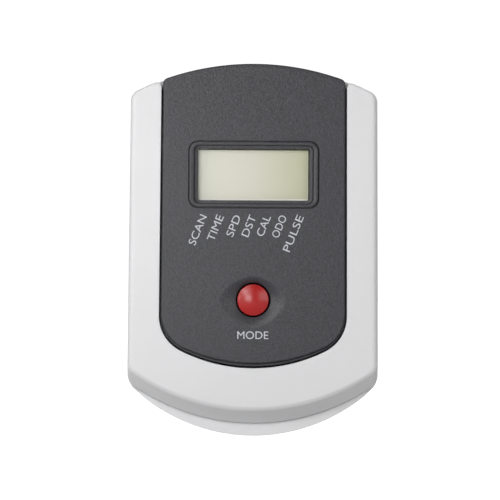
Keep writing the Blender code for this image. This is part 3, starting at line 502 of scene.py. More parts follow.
def display_material():
    """Grey-green display, paler to the left in a painted sheen and shade, with a painted shadow line along
    the glass's top and sides and a painted highlight line along its bottom and sides.
    """
    made, tree, shader = shader_of("lcd")
    split = tree.nodes.new("ShaderNodeSeparateXYZ")
    link(tree, object_coords(tree), split.inputs["Vector"])
    half_w, half_h = WINDOW_OPENING[0] / 2, WINDOW_OPENING[1] / 2
    across = map_range(tree, split.outputs["X"], WINDOW_X - half_w, WINDOW_X + half_w, 0, 1)
    # painted sheen and shade: the colour runs from the pale left to the darker right
    ramp = tree.nodes.new("ShaderNodeValToRGB")
    stops = ((0.0, LCD_LEFT), (0.5, LCD_MIDDLE), (0.78, LCD_SHADE), (1.0, LCD_RIGHT))
    ramp.color_ramp.elements.remove(ramp.color_ramp.elements[1])
    ramp.color_ramp.elements[0].position = stops[0][0]
    ramp.color_ramp.elements[0].color = (*stops[0][1], 1)
    for place, colour in stops[1:]:
        ramp.color_ramp.elements.new(place).color = (*colour, 1)
    link(tree, across, ramp.inputs["Fac"])
    mottle = noise(tree, 120.0, 2.0)
    tint = map_range(tree, mottle, 0.35, 0.65, 0.0, 0.015)
    colour = blend_colours(tree, tint, ramp.outputs["Color"], (0.62, 0.58, 0.47))
    right, left = WINDOW_X + half_w, WINDOW_X - half_w
    low, high = WINDOW_Z - half_h, WINDOW_Z + half_h
    across, up = split.outputs["X"], split.outputs["Z"]
    # painted highlight: thin pale lines inside the bottom, right and left edges
    painted_highlight_mask = strongest(
        tree,
        map_range(tree, up, low + 0.7 * MM, low + 0.5 * MM, 0, 0.9),
        map_range(tree, across, right - 0.95 * MM, right - 0.75 * MM, 0, 0.4),
        map_range(tree, across, left + 0.4 * MM, left + 0.2 * MM, 0, 0.4),
    )
    colour = blend_colours(tree, painted_highlight_mask, colour, EDGE_PAINTED_HIGHLIGHT)
    # painted shadow: thin dark lines inside the top, right and left edges, where the opening's walls shade
    # the display
    painted_shadow_mask = strongest(
        tree,
        map_range(tree, up, high - 0.6 * MM, high - 0.5 * MM, 0, 0.97),
        map_range(tree, across, right - 0.6 * MM, right - 0.5 * MM, 0, 0.97),
        map_range(tree, across, left + 0.15 * MM, left + 0.05 * MM, 0, 0.5),
    )
    colour = blend_colours(tree, painted_shadow_mask, colour, EDGE_PAINTED_SHADOW)
    link(tree, colour, shader.inputs["Base Color"])
    gloss = map_range(tree, mottle, 0.3, 0.7, 0.31, 0.34)
    link(tree, gloss, shader.inputs["Roughness"])
    return made


def window_material():
    """Clear moulded window: see-through, with gloss on the faces towards the light only. Rays pass it
    unbent, so gloss on its far faces would turn black at steep angles."""
    made, tree, shader = shader_of("clear_window")
    tree.nodes.remove(shader)
    clear = tree.nodes.new("ShaderNodeBsdfTransparent")
    clear.inputs["Color"].default_value = (1, 1, 1, 1)
    gloss = tree.nodes.new("ShaderNodeBsdfGlossy")
    gloss.inputs["Color"].default_value = (1, 1, 1, 1)
    polish = map_range(tree, noise(tree, 60.0), 0.3, 0.7, 0.05, 0.055)
    link(tree, polish, gloss.inputs["Roughness"])
    fresnel = tree.nodes.new("ShaderNodeFresnel")
    fresnel.inputs["IOR"].default_value = 1.2
    geometry = tree.nodes.new("ShaderNodeNewGeometry")
    front = map_range(tree, geometry.outputs["Backfacing"], 0, 1, 1, 0)
    face_only = tree.nodes.new("ShaderNodeMath")
    face_only.operation = "MULTIPLY"
    link(tree, fresnel.outputs["Fac"], face_only.inputs[0])
    link(tree, front, face_only.inputs[1])
    mix = tree.nodes.new("ShaderNodeMixShader")
    link(tree, face_only.outputs["Value"], mix.inputs["Fac"])
    link(tree, clear.outputs["BSDF"], mix.inputs[1])
    link(tree, gloss.outputs["BSDF"], mix.inputs[2])
    link(tree, mix.outputs["Shader"], tree.nodes["Material Output"].inputs["Surface"])
    return made


white = plastic("white_plastic", (0.80, 0.80, 0.81), 0.42, 0.5, 0.01, spread=0.008)
white_rear = plastic("white_plastic_textured", (0.79, 0.79, 0.80), 0.55, 0.45, 0.05, spread=0.008)
# the dark plastic gets a painted sheen on its grain
dark = plastic("dark_plastic", (0.035, 0.035, 0.04), 0.4, 0.75, 0.4, spread=0.05, painted_grain_sheen=0.42)
red = plastic("red_plastic", (0.44, 0.008, 0.007), 0.3, 0.9, 0.002, spread=0.05, coat=1.0,
              coat_roughness=0.27, specular=0.02)
black = plastic("black_plastic", (0.022, 0.022, 0.024), 0.4, 0.4, 0.03)
inner = plastic("inner_plastic", (0.66, 0.66, 0.63), 0.5, 0.5, 0.03)
zebra = plastic("zebra_rubber", (0.72, 0.5, 0.55), 0.7, 0.3, 0.03)
board = plastic("board_resin", (0.03, 0.2, 0.08), 0.35, 0.6, 0.03, spread=0.2, coat=0.4)
blob = plastic("blob_resin", (0.012, 0.012, 0.013), 0.25, 1.5, 0.05)
can = plastic("can_sleeve", (0.03, 0.035, 0.09), 0.3, 0.8, 0.01)
wrap = plastic("cell_wrap", (0.1, 0.13, 0.2), 0.3, 1.0, 0.01, spread=0.1, coat=0.3)
red_wire = plastic("red_wire", (0.5, 0.02, 0.02), 0.4, 0.5, 0.01)
black_wire = plastic("black_wire", (0.015, 0.015, 0.015), 0.4, 0.5, 0.01)
grey_wire = plastic("grey_wire", (0.3, 0.3, 0.31), 0.45, 0.5, 0.01)
ink = plastic("legend_ink", (0.62, 0.63, 0.68), 0.6, 0.15, 0.004, spread=0.06)
steel = metal("screw_steel", (0.45, 0.45, 0.46), 0.32)
nickel = metal("contact_metal", (0.75, 0.74, 0.7), 0.25)
foil = metal("reflector_foil", (0.75, 0.75, 0.68), 0.4, 200.0)
lcd = display_material()
clear = window_material()


# ---------------------------------------------------------------- pieces


def place(obj, slot, body="housing", node=None):
    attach(obj, body)
    if node:
        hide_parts(node)
    return obj


def dish_outline(share):
    """From the almond rim of the finger dish (share 0) to the button's hole (share 1)."""
    points = []
    for i in range(DISH_POINTS):
        a = 2 * math.pi * i / DISH_POINTS
        pinch = 1 - 0.07 * math.sin(2 * a) ** 2
        reach = DISH_HALF[1] if math.sin(a) > 0 else DISH_HALF[2]
        rim = Vector((DISH_HALF[0] * math.cos(a) * pinch, reach * math.sin(a) * pinch))
        hole = Vector((BUTTON_HOLE * math.cos(a), BUTTON_HOLE * math.sin(a)))
        point = rim.lerp(hole, share)
        points.append((point.x, BUTTON_Z + point.y))
    return points


def panel_rim(mesh):
    """From the face over the rounded edge, down the outside and back up inside the skirt."""
    outline = panel_outline(0)
    rear = [REAR_RIM_Y if z > TOP_Z - TOP_WALL_DROP else SKIRT_Y for _, z in outline]
    rings = []
    for side, depth in quarter(0.6 * MM, 6):
        edge = panel_outline(side + 0.25 * MM, side * 3, LIP_RAISE)
        rings.append(ring(mesh, edge, PANEL_Y + depth))
    for share, side, depth in RIM_GROOVE:
        edge = panel_outline(side * MM, None, LIP_RAISE * share)
        rings.append(ring(mesh, edge, PANEL_Y + depth * MM))
    rings.append(ring(mesh, outline, rear))
    rings.append(ring(mesh, panel_outline(WALL), rear))
    rings.append(ring(mesh, panel_outline(WALL), PANEL_INSIDE_Y))
    bridge_all(mesh, rings)
    return rings


def panel_window(mesh):
    """The display's recess: a grooved ring, a ledge inside it and the opening."""
    rings = []
    width, height, radius = WINDOW_RING
    for inset, depth in RING_STEPS:
        trim = 2 * (RING_OUTSET / MM - inset) * MM
        corner = radius - inset * MM * 0.6
        shape = rectangle(width + trim, height + trim, corner, WINDOW_X, WINDOW_Z)
        rings.append(ring(mesh, shape, PANEL_Y + depth * MM))
    width, height, radius = WINDOW_LEDGE
    for inset, depth in LEDGE_STEPS:
        trim, corner = 2 * inset * MM, radius - inset * MM
        shape = rectangle(width - trim, height - trim, corner, WINDOW_X, WINDOW_Z)
        rings.append(ring(mesh, shape, PANEL_Y + depth * MM))
    width, height, radius = WINDOW_OPENING
    for inset, depth in OPENING_STEPS:
        trim = 2 * inset * MM
        shape = rectangle(width - trim, height - trim, radius, WINDOW_X, WINDOW_Z)
        rings.append(ring(mesh, shape, PANEL_Y + depth * MM))
    shape = rectangle(width, height, radius, WINDOW_X, WINDOW_Z)
    rings.append(ring(mesh, shape, PANEL_INSIDE_Y))
    bridge_all(mesh, rings)
    return rings


def panel_dish(mesh):
    """The finger dish, the gap round the button, and the short guide behind it."""
    rings = []
    for i in range(DISH_RINGS + 1):
        share = i / DISH_RINGS
        rings.append(ring(mesh, dish_outline(share), PANEL_Y + DISH_DEPTH * share**1.9))
    bore, foot = BUTTON_HOLE - 0.02 * MM, PANEL_INSIDE_Y + GUIDE_LENGTH
    for radius, depth in ((bore, 0.12), (bore, 1.6), (BUTTON_COLLAR, 1.6)):
        rings.append(ring(mesh, circle(radius, 0, BUTTON_Z), PANEL_Y + DISH_DEPTH + depth * MM))
    guide = BUTTON_HOLE + GUIDE_WALL
    for radius, y in ((BUTTON_COLLAR, foot), (guide, foot), (guide, PANEL_INSIDE_Y)):
        rings.append(ring(mesh, circle(radius, 0, BUTTON_Z), y))
    bridge_all(mesh, rings)
    return rings


def face_panel():
    """One closed moulding: rounded rim, flat face with the window and the dish, skirt and top wall."""
    mesh = bmesh.new()
    rim, window, dish = panel_rim(mesh), panel_window(mesh), panel_dish(mesh)
    fill(mesh, rim[0], window[0], dish[0])
    fill(mesh, rim[-1], window[-1], dish[-1])
    panel = even_normals(finish_mesh("panel_moulding", mesh, dark, 40))
    return place(panel, "dark_plastic", node="face_panel")


def chin_profile():
    """(depth, apex height) of the chin, from the flat face over its soft brow to the crisp lower edge."""
    brow = CHIN_TOP_Z
    points = [(0.0, 1.1), (0.05, 0.65), (0.12, 0.4), (0.25, 0.1), (0.4, -0.2), (0.7, -0.65), (1.0, -1.0)]
    profile = [(d * MM, brow + z * MM) for d, z in points]
    profile += [(7.0 * MM, CHIN_Z + 0.12 * MM), (7.2 * MM, CHIN_Z + 0.03 * MM), (7.4 * MM, CHIN_Z)]
    return profile


def chin_z(depth):
    profile = chin_profile()
    for (d0, z0), (d1, z1) in zip(profile, profile[1:]):
        if depth <= d1:
            return z0 + (z1 - z0) * (depth - d0) / (d1 - d0)
    return profile[-1][1]


def front_surround():
    """The white U, hollowed from behind apart from a wall round the panel's pocket."""
    depths = [0, 0.05, 0.12, 0.25, 0.4, 0.7, 1.0, 1.4, 1.8, 2.3, 4.0, 7.0, 7.2, 7.4]
    side_round, top_round, seam_round = 2.3 * MM, 1.0 * MM, 0.4 * MM

    def inset(depth, radius):
        return radius - math.sqrt(radius**2 - max(radius - depth, 0) ** 2)

    sections = []
    full = REAR_RIM_Y - FACE_Y
    for depth in [d * MM for d in depths] + [full - 0.2 * MM, full]:
        last = 0.15 * MM if depth >= full else 0
        side, top = inset(depth, side_round) + last, inset(depth, top_round) + last
        outline = surround_outline(side, top, chin_z(depth), SEAM + inset(depth, seam_round))
        sections.append((FACE_Y + depth, outline))
    surround = loft("surround_moulding", sections, white)
    inside = [
        (FACE_Y + WALL, body_outline(WALL, WALL, CHIN_TOP_Z + 0.2 * MM, CHIN_RADIUS)),
        (FACE_Y + 8.0 * MM, body_outline(WALL, WALL, CHIN_Z + WALL, CHIN_RADIUS)),
        (REAR_RIM_Y + 2 * MM, body_outline(WALL, WALL, CHIN_Z + WALL, CHIN_RADIUS)),
    ]
    cavity = loft("cavity", inside)
    keep = surround_keep(SEAM + 1.8 * MM)
    carve(cavity, [keep])
    carve(surround, [cavity], angle=40)
    even_normals(surround)
    return place(surround, "white_plastic", node="front_surround")


def surround_keep(outset):
    """A block as wide as the panel's pocket and its wall, which the cavity leaves standing."""
    low_corner = PANEL_LOW_CORNER + outset
    low = arc(PANEL_LOW_RADIUS + outset, PANEL_LOW_Z - outset, PANEL_HALF + outset, -1, low_corner)
    half, top = PANEL_HALF_TOP + outset, TOP_Z + 20 * MM
    outline = rounded([(half, top, 0), (-half, top, 0)] + low)
    return loft("keep", [(FACE_Y - 5 * MM, outline), (REAR_RIM_Y + 5 * MM, outline)])


def lip_outline(inset):
    """The crescent between the chin and the cover's lower edge, from its left end along the bottom."""
    outer, inner = COVER_RADIUS - inset, CHIN_RADIUS + LIP_GAP + inset
    across = [LIP_HALF_WIDTH * (2 * i / ARC_STEPS - 1) for i in range(ARC_STEPS + 1)]
    bottom = [(x, COVER_Z + inset + outer - math.sqrt(outer**2 - x * x)) for x in across]
    top = [(x, CHIN_Z - LIP_GAP - inset + inner - math.sqrt(inner**2 - x * x)) for x in reversed(across)]
    return bottom + top


def parting_tongue():
    """A thin rim inside the parting line, which stands behind the surround's wall."""
    near, far = PARTING_Y - 1.1 * MM, PARTING_Y + 1.6 * MM
    mesh = bmesh.new()
    rings = []
    for inset, y in ((1.9, far), (2.06, PARTING_Y), (2.06, near), (2.9, near), (2.9, far)):
        outline = body_outline(inset * MM, inset * MM, CHIN_Z + inset * MM, CHIN_RADIUS)
        rings.append(ring(mesh, outline, y))
    bridge_all(mesh, rings + [rings[0]])
    return place(finish_mesh("cover_tongue", mesh, white_rear), "white_plastic")


def cover_outline(inset):
    return body_outline(inset, inset, COVER_Z + inset, COVER_RADIUS - inset, BOTTOM_CORNER - inset)


def cover_bowl():
    """The bowl with its rounded back edge, before the bay and the posts."""
    rim_y = PARTING_Y
    outside = [(rim_y, 0.4), (rim_y + 0.08 * MM, 0.2), (rim_y + 0.2 * MM, 0.06)]
    outside += [(rim_y + 0.4 * MM, 0), (rim_y + 1.3 * MM, 0), (rim_y + 4 * MM, 0.15)]
    for inset, depth in reversed(quarter(3.6 * MM, 8)):
        outside.append((BACK_Y - depth * 0.75, 0.3 + inset / MM))
    sections = [(y, cover_outline(inset * MM)) for y, inset in outside]
    bowl = loft("cover_moulding", sections, white_rear)
    narrow = body_outline(WALL, WALL, CHIN_Z + WALL, CHIN_RADIUS)
    inside = [(rim_y - 1 * MM, narrow), (rim_y + WALL, narrow)]
    inside.append((rim_y + WALL + 0.1 * MM, cover_outline(WALL)))
    inside.append((BACK_Y - 3.2 * MM, cover_outline(2.6 * MM)))
    inside.append((BACK_Y - WALL, cover_outline(4.2 * MM)))
    return carve(bowl, [loft("cover_inside", inside)])


def battery_bay_cuts():
    """Room for the cells, the lid's pocket and the sockets of its hinge."""
    cell_low, cell_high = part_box("battery_lower")[0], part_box("battery_upper")[1]
    room_low = (-BAY_HALF, cell_low.y - 0.3 * MM, cell_low.z - CELL_PLAY)
    room_high = (BAY_HALF, BACK_Y + 2 * MM, cell_high.z + CELL_PLAY)
    pocket_low = (-DOOR_HALF - GAP, DOOR_LOW.y - GAP, DOOR_LOW.z - GAP)
    pocket_high = (DOOR_HALF + GAP, BACK_Y + 2 * MM, DOOR_HIGH.z + GAP)
    cuts = [box("room", room_low, room_high), box("door_pocket", pocket_low, pocket_high)]
    return cuts + [hinge_pin(side, HINGE_PLAY) for side in (-1, 1)]


def screw_bore(name):
    x, z = middle_of(name)
    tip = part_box(name)[0].y - 1 * MM
    bore = [(0, tip), (SCREW_BORE, tip), (SCREW_BORE, COUNTERBORE_Y), (COUNTERBORE, COUNTERBORE_Y)]
    bore += [(COUNTERBORE, BACK_Y - 0.25 * MM), (COUNTERBORE + 0.3 * MM, BACK_Y)]
    bore += [(COUNTERBORE + 0.3 * MM, 0), (0, 0)]
    return turned("bore", bore, x, z, steps=48)


def jack_hole(name):
    x, z = middle_of(name)
    wide = JACK_NOSE + GAP
    hole = [(0, -20 * MM), (wide, -20 * MM), (wide, BACK_Y - 0.3 * MM)]
    hole += [(wide + 0.3 * MM, BACK_Y), (wide + 0.3 * MM, 0), (0, 0)]
    return turned("hole", hole, x, z, steps=48)


def rear_cover():
    """The white bowl with the lip under the chin, the battery bay, the screw posts and the holes."""
    shell = cover_bowl()
    lip = [(LIP_Y, 0.22), (LIP_Y + 0.04 * MM, 0.12), (LIP_Y + 0.12 * MM, 0.06)]
    lip += [(LIP_Y + 0.25 * MM, 0.04), (PARTING_Y + 1.2 * MM, 0.04)]
    carve(shell, [loft("chin_lip", [(y, lip_outline(inset * MM)) for y, inset in lip])], "UNION")
    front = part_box("battery_upper")[0].y - 2.0 * MM
    bay_low = (-DOOR_HALF - 1.8 * MM, front, DOOR_LOW.z - 1.9 * MM)
    bay_high = (DOOR_HALF + 1.8 * MM, BACK_Y - 1 * MM, DOOR_HIGH.z + 1.7 * MM)
    carve(shell, [box("bay", bay_low, bay_high)], "UNION")
    cuts = battery_bay_cuts()
    for name in SCREWS_CASE:
        foot, top = PARTING_Y, BACK_Y - 1 * MM
        post = [(0, foot), (POST_RADIUS, foot), (POST_RADIUS, top), (0, top)]
        carve(shell, [turned("post", post, *middle_of(name))], "UNION")
        cuts.append(screw_bore(name))
    cuts += [jack_hole(name) for name in JACKS]
    carve(shell, cuts, angle=40)
    even_normals(shell)
    return place(shell, "white_plastic", node="rear_cover")


def hinge_pin(side, play=0.0):
    """The pin at one end of the lid's hinge, or its socket with some play."""
    radius = HINGE_PIN_RADIUS + play
    half_thick = (DOOR_HIGH.y - DOOR_LOW.y) / 2
    mesh = bmesh.new()
    rings = []
    for x in (DOOR_HALF - 1 * MM, DOOR_HALF + HINGE_PIN_REACH + play):
        outline = circle(radius, DOOR_HIGH.y - half_thick, DOOR_LOW.z + half_thick, 24)
        rings.append([mesh.verts.new((side * x, y, z)) for y, z in outline])
    bridge_all(mesh, rings)
    for loop in rings:
        mesh.faces.new(loop)
    return finish_mesh("hinge_pin", mesh, None)


def battery_door():
    """The lid, with a round hinge edge, two pins, a finger notch and grip ribs."""
    low, high = DOOR_LOW, DOOR_HIGH
    radius = (high.y - low.y) / 2
    middle = (high.y + low.y) / 2
    hinge_z = low.z + radius
    round_edge = [math.pi * (i / 12 - 0.5) for i in range(13)]
    profile = [(middle + radius * math.sin(a), hinge_z - radius * math.cos(a)) for a in round_edge]
    profile += [(high.y, high.z - 0.5 * MM), (high.y - 0.15 * MM, high.z - 0.15 * MM)]
    profile += [(high.y - 0.5 * MM, high.z), (low.y, high.z)]
    mesh = bmesh.new()
    edge = 0.25 * MM
    rings = []
    for x, shrink in ((-DOOR_HALF, edge), (-DOOR_HALF + edge, 0), (DOOR_HALF - edge, 0), (DOOR_HALF, edge)):
        points = [(x, y - shrink if y > middle else y, z) for y, z in profile]
        rings.append([mesh.verts.new(point) for point in points])
    bridge_all(mesh, rings)
    mesh.faces.new(rings[0])
    mesh.faces.new(rings[-1])
    door = finish_mesh("battery_lid", mesh, white_rear)
    notch_z = high.z - 6 * MM
    floor_y, clear_y = high.y - 0.7 * MM, high.y + 0.5 * MM
    notch = [(0, floor_y), (4.6 * MM, floor_y), (5.0 * MM, high.y - 0.55 * MM)]
    notch += [(6.2 * MM, clear_y), (0, clear_y)]
    carve(door, [turned("notch", notch, 0, notch_z)], angle=40)
    carve(door, [hinge_pin(side) for side in (-1, 1)], "UNION", 40)
    even_normals(door)
    for i in range(5):
        z = notch_z - 2.4 * MM + i * 1.2 * MM
        half = math.sqrt((4.2 * MM) ** 2 - (z - notch_z) ** 2)
        rib_low = (-half, high.y - 0.72 * MM, z - 0.25 * MM)
        rib_high = (half, high.y - 0.3 * MM, z + 0.25 * MM)
        rib = box(f"lid_rib_{i + 1}", rib_low, rib_high, white_rear)
        bevel(rib, 0.12 * MM)
        place(rib, "white_plastic", "battery_door")
    return place(door, "white_plastic", "battery_door", "battery_door")


def mode_button():
    """Polished domed cap with a small rounded shoulder, and its retaining flange."""
    apex = BUTTON_LOW.y
    sphere = (BUTTON_RADIUS**2 + BUTTON_RISE**2) / (2 * BUTTON_RISE)
    reach = math.asin((BUTTON_RADIUS - BUTTON_SHOULDER) / sphere)
    dome = [reach * i / 20 for i in range(21)]
    profile = [(sphere * math.sin(a), apex + sphere * (1 - math.cos(a))) for a in dome]
    edge_r, edge_y = profile[-1]
    for i in range(1, 7):
        turn = math.pi / 2 * i / 6
        drop = BUTTON_SHOULDER * 1.3 * (1 - math.cos(turn))
        profile.append((edge_r + BUTTON_SHOULDER * math.sin(turn), edge_y + drop))
    near, far = BUTTON_HIGH.y - 0.7 * MM, BUTTON_HIGH.y
    profile += [(BUTTON_RADIUS, near), (BUTTON_HIGH.x, near), (BUTTON_HIGH.x, far), (0, far)]
    cap = turned("button_cap", profile, 0, BUTTON_Z, red, steps=96, angle=50)
    return place(cap, "red_plastic", "mode_button", "mode_button")


def bracket_socket():
    """The block with the channel for the bracket's tongue, and its screw flanges."""
    low, high = SOCKET_LOW, SOCKET_HIGH
    flange_thick = 2.5 * MM
    half_block = 25 * MM
    socket = box("socket_block", (-half_block, low.y, low.z), (half_block, high.y, high.z), white_rear)
    flange = box("flange", (low.x, low.y, low.z + 2 * MM), (high.x, low.y + flange_thick, high.z - 2 * MM))
    apply_modifiers(bevel(flange, 0.6 * MM, 3))
    apply_modifiers(bevel(socket, 1.2 * MM, 4))
    carve(socket, [flange], "UNION")
    channel = (-20.2 * MM, low.y + 2.1 * MM, low.z - 5 * MM)
    cuts = [box("channel", channel, (20.2 * MM, high.y - 2.3 * MM, high.z - 3 * MM))]
    hole = [(0, -20 * MM), (SCREW_BORE, -20 * MM), (SCREW_BORE, 0), (0, 0)]
    cuts += [turned("hole", hole, *middle_of(name), steps=40) for name in SCREWS_SOCKET]
    carve(socket, cuts, angle=30)
    even_normals(socket)
    return place(socket, "white_plastic", node="bracket_socket")


def screw(name):
    """A zinc-plated pan head with a cross recess, in place of the plain one."""
    low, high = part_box(name)
    x, z = middle_of(name)
    head, shank, thick = (high.x - low.x) / 2, 1.3 * MM, 1.8 * MM
    under, corner = high.y - thick, 0.1 * MM
    profile = [(0, low.y), (0.4 * shank, low.y), (shank, low.y + shank), (shank, under)]
    profile += [(head - corner, under), (head, under + corner), (head, under + 0.5 * thick)]
    for i in range(1, 7):
        turn = math.pi / 2 * i / 6
        drop = thick * 0.5 * (1 - math.sin(turn))
        profile.append((head * (0.55 + 0.45 * math.cos(turn)), high.y - drop))
    profile.append((0, high.y))
    fine = turned(f"{name}_fine", profile, x, z, steel, steps=48, angle=40)
    arm, slot = head * 0.55, head * 0.12
    floor_y, clear_y = under + thick * 0.4, high.y + 1 * MM
    cross = [box("a", (x - arm, floor_y, z - slot), (x + arm, clear_y, z + slot))]
    cross.append(box("b", (x - slot, floor_y, z - arm), (x + slot, clear_y, z + arm)))
    carve(fine, cross, angle=40)
    return place(fine, "screw_steel", node=name)


def jack(name):
    """A black jack body with a nickel bush in its nose."""
    low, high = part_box(name)
    x, z = middle_of(name)
    shoulder = high.y - 2.6 * MM
    body = box(f"{name}_body", low, (high.x, shoulder, high.z), black)
    apply_modifiers(bevel(body, 0.4 * MM, 2))
    nose = [(0, shoulder - 1 * MM), (JACK_NOSE, shoulder - 1 * MM), (JACK_NOSE, high.y - 0.3 * MM)]
    nose += [(JACK_NOSE - 0.1 * MM, high.y - 0.1 * MM), (JACK_NOSE - 0.3 * MM, high.y), (0, high.y)]
    carve(body, [turned("nose", nose, x, z)], "UNION")
    pin_bore, seat = 1.8 * MM, 2.45 * MM
    bore = [(0, low.y + 1 * MM), (pin_bore, low.y + 1 * MM), (pin_bore, high.y - 1 * MM)]
    bore += [(seat, high.y - 1 * MM), (seat, high.y + 1 * MM), (0, high.y + 1 * MM)]
    carve(body, [turned("bore", bore, x, z, steps=48)], angle=40)
    place(body, "black_plastic", node=name)
    mesh = bmesh.new()
    tube = [(1.8, -0.95), (2.4, -0.95), (2.4, -0.12), (2.28, 0.0), (1.95, 0.0), (1.8, -0.15)]
    rings = [ring(mesh, circle(r * MM, x, z, 64), high.y + y * MM) for r, y in tube]
    bridge_all(mesh, rings + [rings[0]])
    return place(finish_mesh(f"{name}_bush", mesh, nickel, 40), "contact_metal")


# ---------------------------------------------------------------- printed legends


def legend(name, words, x, z, angle, length, height):
    """Words printed on the face; x, z is the middle of the line, length and height are what it measures."""
    curve = bpy.data.curves.new(name, "FONT")
    curve.body = words
    curve.align_x = "CENTER"
    curve.align_y = "CENTER"
    curve.resolution_u = 4
    curve.offset = -0.0015
    guide = bpy.data.objects.new(name + "_guide", curve)
    bpy.context.scene.collection.objects.link(guide)
    data = bpy.data.meshes.new_from_object(guide.evaluated_get(bpy.context.evaluated_depsgraph_get()))
    bpy.data.objects.remove(guide)
    xs, ys = [v.co.x for v in data.vertices], [v.co.y for v in data.vertices]
    middle = Vector(((max(xs) + min(xs)) / 2, (max(ys) + min(ys)) / 2))
    scale_x, scale_y = length / (max(xs) - min(xs)), height / (max(ys) - min(ys))
    c, s = math.cos(angle), math.sin(angle)
    mesh = bmesh.new()
    mesh.from_mesh(data)
    bmesh.ops.remove_doubles(mesh, verts=mesh.verts, dist=1e-5)
    for vert in mesh.verts:
        u, v = (vert.co.x - middle.x) * scale_x, (vert.co.y - middle.y) * scale_y
        vert.co = (x + u * c - v * s, PANEL_Y - 0.015 * MM, z + u * s + v * c)
    faces = bmesh.ops.extrude_face_region(mesh, geom=mesh.faces[:])["geom"]
    verts = [item for item in faces if isinstance(item, bmesh.types.BMVert)]
    bmesh.ops.translate(mesh, vec=(0, 0.014 * MM, 0), verts=verts)
    piece = finish_mesh(name, mesh, ink)
    return place(piece, "inner_plastic")


def legends():
    """One word for each reading, set on a slant under the display, and one under the button."""
    slant = math.radians(68)
    height = 3.0 * MM
    top_z = 13.4 * MM
    rows = [("SCAN", -19.5, 12.2), ("TIME", -12.9, 10.5), ("SPD", -6.2, 8.6), ("DST", -0.2, 8.6)]
    rows += [("CAL", 5.5, 8.4), ("ODO", 11.7, 9.0), ("PULSE", 18.3, 14.8)]
    for words, x, length in rows:
        reach = length * MM / 2
        middle_x, middle_z = x * MM - reach * math.cos(slant), top_z - reach * math.sin(slant)
        legend(f"legend_{words.lower()}", words, middle_x, middle_z, slant, length * MM, height)
    legend("legend_mode", "MODE", 0, -33.2 * MM, 0, 12.1 * MM, height)


# ---------------------------------------------------------------- carried-over CAD nodes


def dress(names, surface):
    for name in names:
        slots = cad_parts[name].material_slots
        for slot in slots:
            slot.material = surface
        if not slots:
            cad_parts[name].data.materials.append(surface)


def dress_frame():
    dress(["display_window"], clear)
    dress(["lcd_front_glass", "lcd_rear_glass"], lcd)
    dress(["lcd_reflector"], foil)
    dress(["lcd_holder"], inner)
    dress(["zebra_strip_upper", "zebra_strip_lower"], zebra)
    dress(["circuit_board"], board)
    dress(["chip_blob"], blob)
    dress(["capacitor"], can)
    dress(["battery_upper", "battery_lower"], wrap)
    dress(["tact_switch_body", "tact_switch_plunger", "speed_sensor_jack", "pulse_jack"], black)
    dress(["battery_lead_red"], red_wire)
    dress(["battery_lead_black"], black_wire)
    dress(["speed_sensor_lead", "pulse_lead"], grey_wire)
    metal_parts = ["crystal", "battery_contact_upper", "battery_contact_lower"]
    dress(metal_parts + ["battery_spring_upper", "battery_spring_lower"], nickel)
    dress([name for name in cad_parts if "screw" in name], steel)
    dress(["front_surround", "rear_cover", "battery_door", "bracket_socket"], white)
    dress(["face_panel"], dark)
    dress(["mode_button"], red)


# ---------------------------------------------------------------- studio


SOFTBOXES = [  # name, degrees to the right, degrees up, distance, width, height, power
    ("key_softbox", -25, 27, 0.7, 0.38, 0.36, 0.88),
    ("left_softbox", -60, 6, 0.9, 0.4, 0.22, 1.8),
    ("right_softbox", 38, 12, 0.9, 0.55, 0.5, 1.45),
    ("near_softbox", -16, 3, 0.35, 0.12, 0.1, 0.22),
    ("glint_softbox", -30, 24, 0.5, 0.09, 0.09, 0.17),
    ("back_softbox", 150, 30, 0.9, 0.7, 0.7, 3.8),
]
WORLD_STRENGTH = 0.2


def softbox(name, right, up, distance, width, height, power):
    """A soft light aimed at the console, placed by its direction as seen from the face."""
    data = bpy.data.lights.new(name, "AREA")
    data.shape = "RECTANGLE"
    data.size, data.size_y = width, height
    data.energy = power
    lamp = bpy.data.objects.new(name, data)
    bpy.context.scene.collection.objects.link(lamp)
    turn, lift = math.radians(right), math.radians(up)
    away = Vector((math.sin(turn) * math.cos(lift), -math.cos(turn) * math.cos(lift), math.sin(lift)))
    lamp.location = (cad_box[0] + cad_box[1]) / 2 + away * distance
    lamp.visible_camera = False
    lamp.rotation_mode = "QUATERNION"
    lamp.rotation_quaternion = away.to_track_quat("Z", "Y")


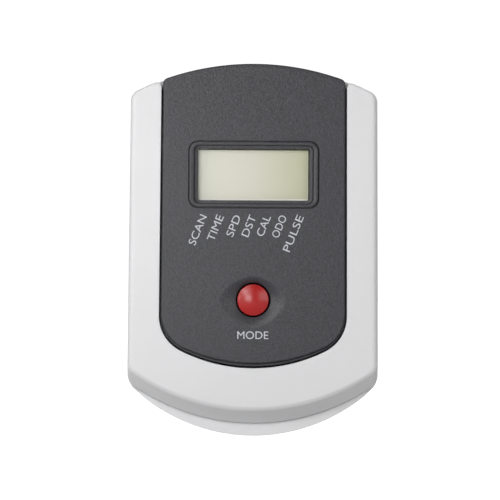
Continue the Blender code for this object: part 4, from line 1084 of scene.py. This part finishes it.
def studio():
    for setup in SOFTBOXES:
        softbox(*setup)
    world = bpy.data.worlds.new("studio")
    bpy.context.scene.world = world
    world.use_nodes = True
    tree = world.node_tree
    glow = tree.nodes["Background"]
    glow.inputs["Color"].default_value = (1, 1, 1, 1)
    path = tree.nodes.new("ShaderNodeLightPath")
    strength = map_range(tree, path.outputs["Is Camera Ray"], 0, 1, WORLD_STRENGTH, 1.05)
    link(tree, strength, glow.inputs["Strength"])


def floor():
    """A pale floor that the camera sees as plain white."""
    mesh = bmesh.new()
    half = 6.0
    bmesh.ops.create_grid(mesh, x_segments=1, y_segments=1, size=half)
    bmesh.ops.translate(mesh, vec=(0, 0, cad_box[0].z), verts=mesh.verts)
    made, tree, shader = shader_of("studio_floor")
    shader.inputs["Base Color"].default_value = (0.62, 0.62, 0.62, 1)
    shader.inputs["Roughness"].default_value = 0.9
    shader.inputs["Specular IOR Level"].default_value = 0.0
    shader.inputs["Emission Color"].default_value = (1, 1, 1, 1)
    path = tree.nodes.new("ShaderNodeLightPath")
    glow = map_range(tree, path.outputs["Is Camera Ray"], 0, 1, 0.0, 1.1)
    link(tree, glow, shader.inputs["Emission Strength"])
    obj = finish_mesh("studio_floor", mesh, made)


def camera():
    """The long-lens front view, with the small roll that the console has in it."""
    lens, sensor = 450.0, 36.0
    view_width = 0.1949  # what the frame is wide at the face
    data = bpy.data.cameras.new("front_camera")
    data.lens, data.sensor_width = lens, sensor
    obj = bpy.data.objects.new("front_camera", data)
    bpy.context.scene.collection.objects.link(obj)
    distance = view_width * lens / sensor
    obj.location = (-1.3 * MM, FACE_Y - distance, 0)
    obj.rotation_euler = (math.pi / 2, math.radians(-0.35), 0)
    bpy.context.scene.camera = obj


camera()
dress_frame()
face_panel()
front_surround()
rear_cover()
parting_tongue()
battery_door()
mode_button()
bracket_socket()
for screw_name in SCREWS_CASE + SCREWS_SOCKET:
    screw(screw_name)
for jack_name in JACKS:
    jack(jack_name)
legends()
floor()
studio()
bpy.context.scene.view_settings.view_transform = "Standard"
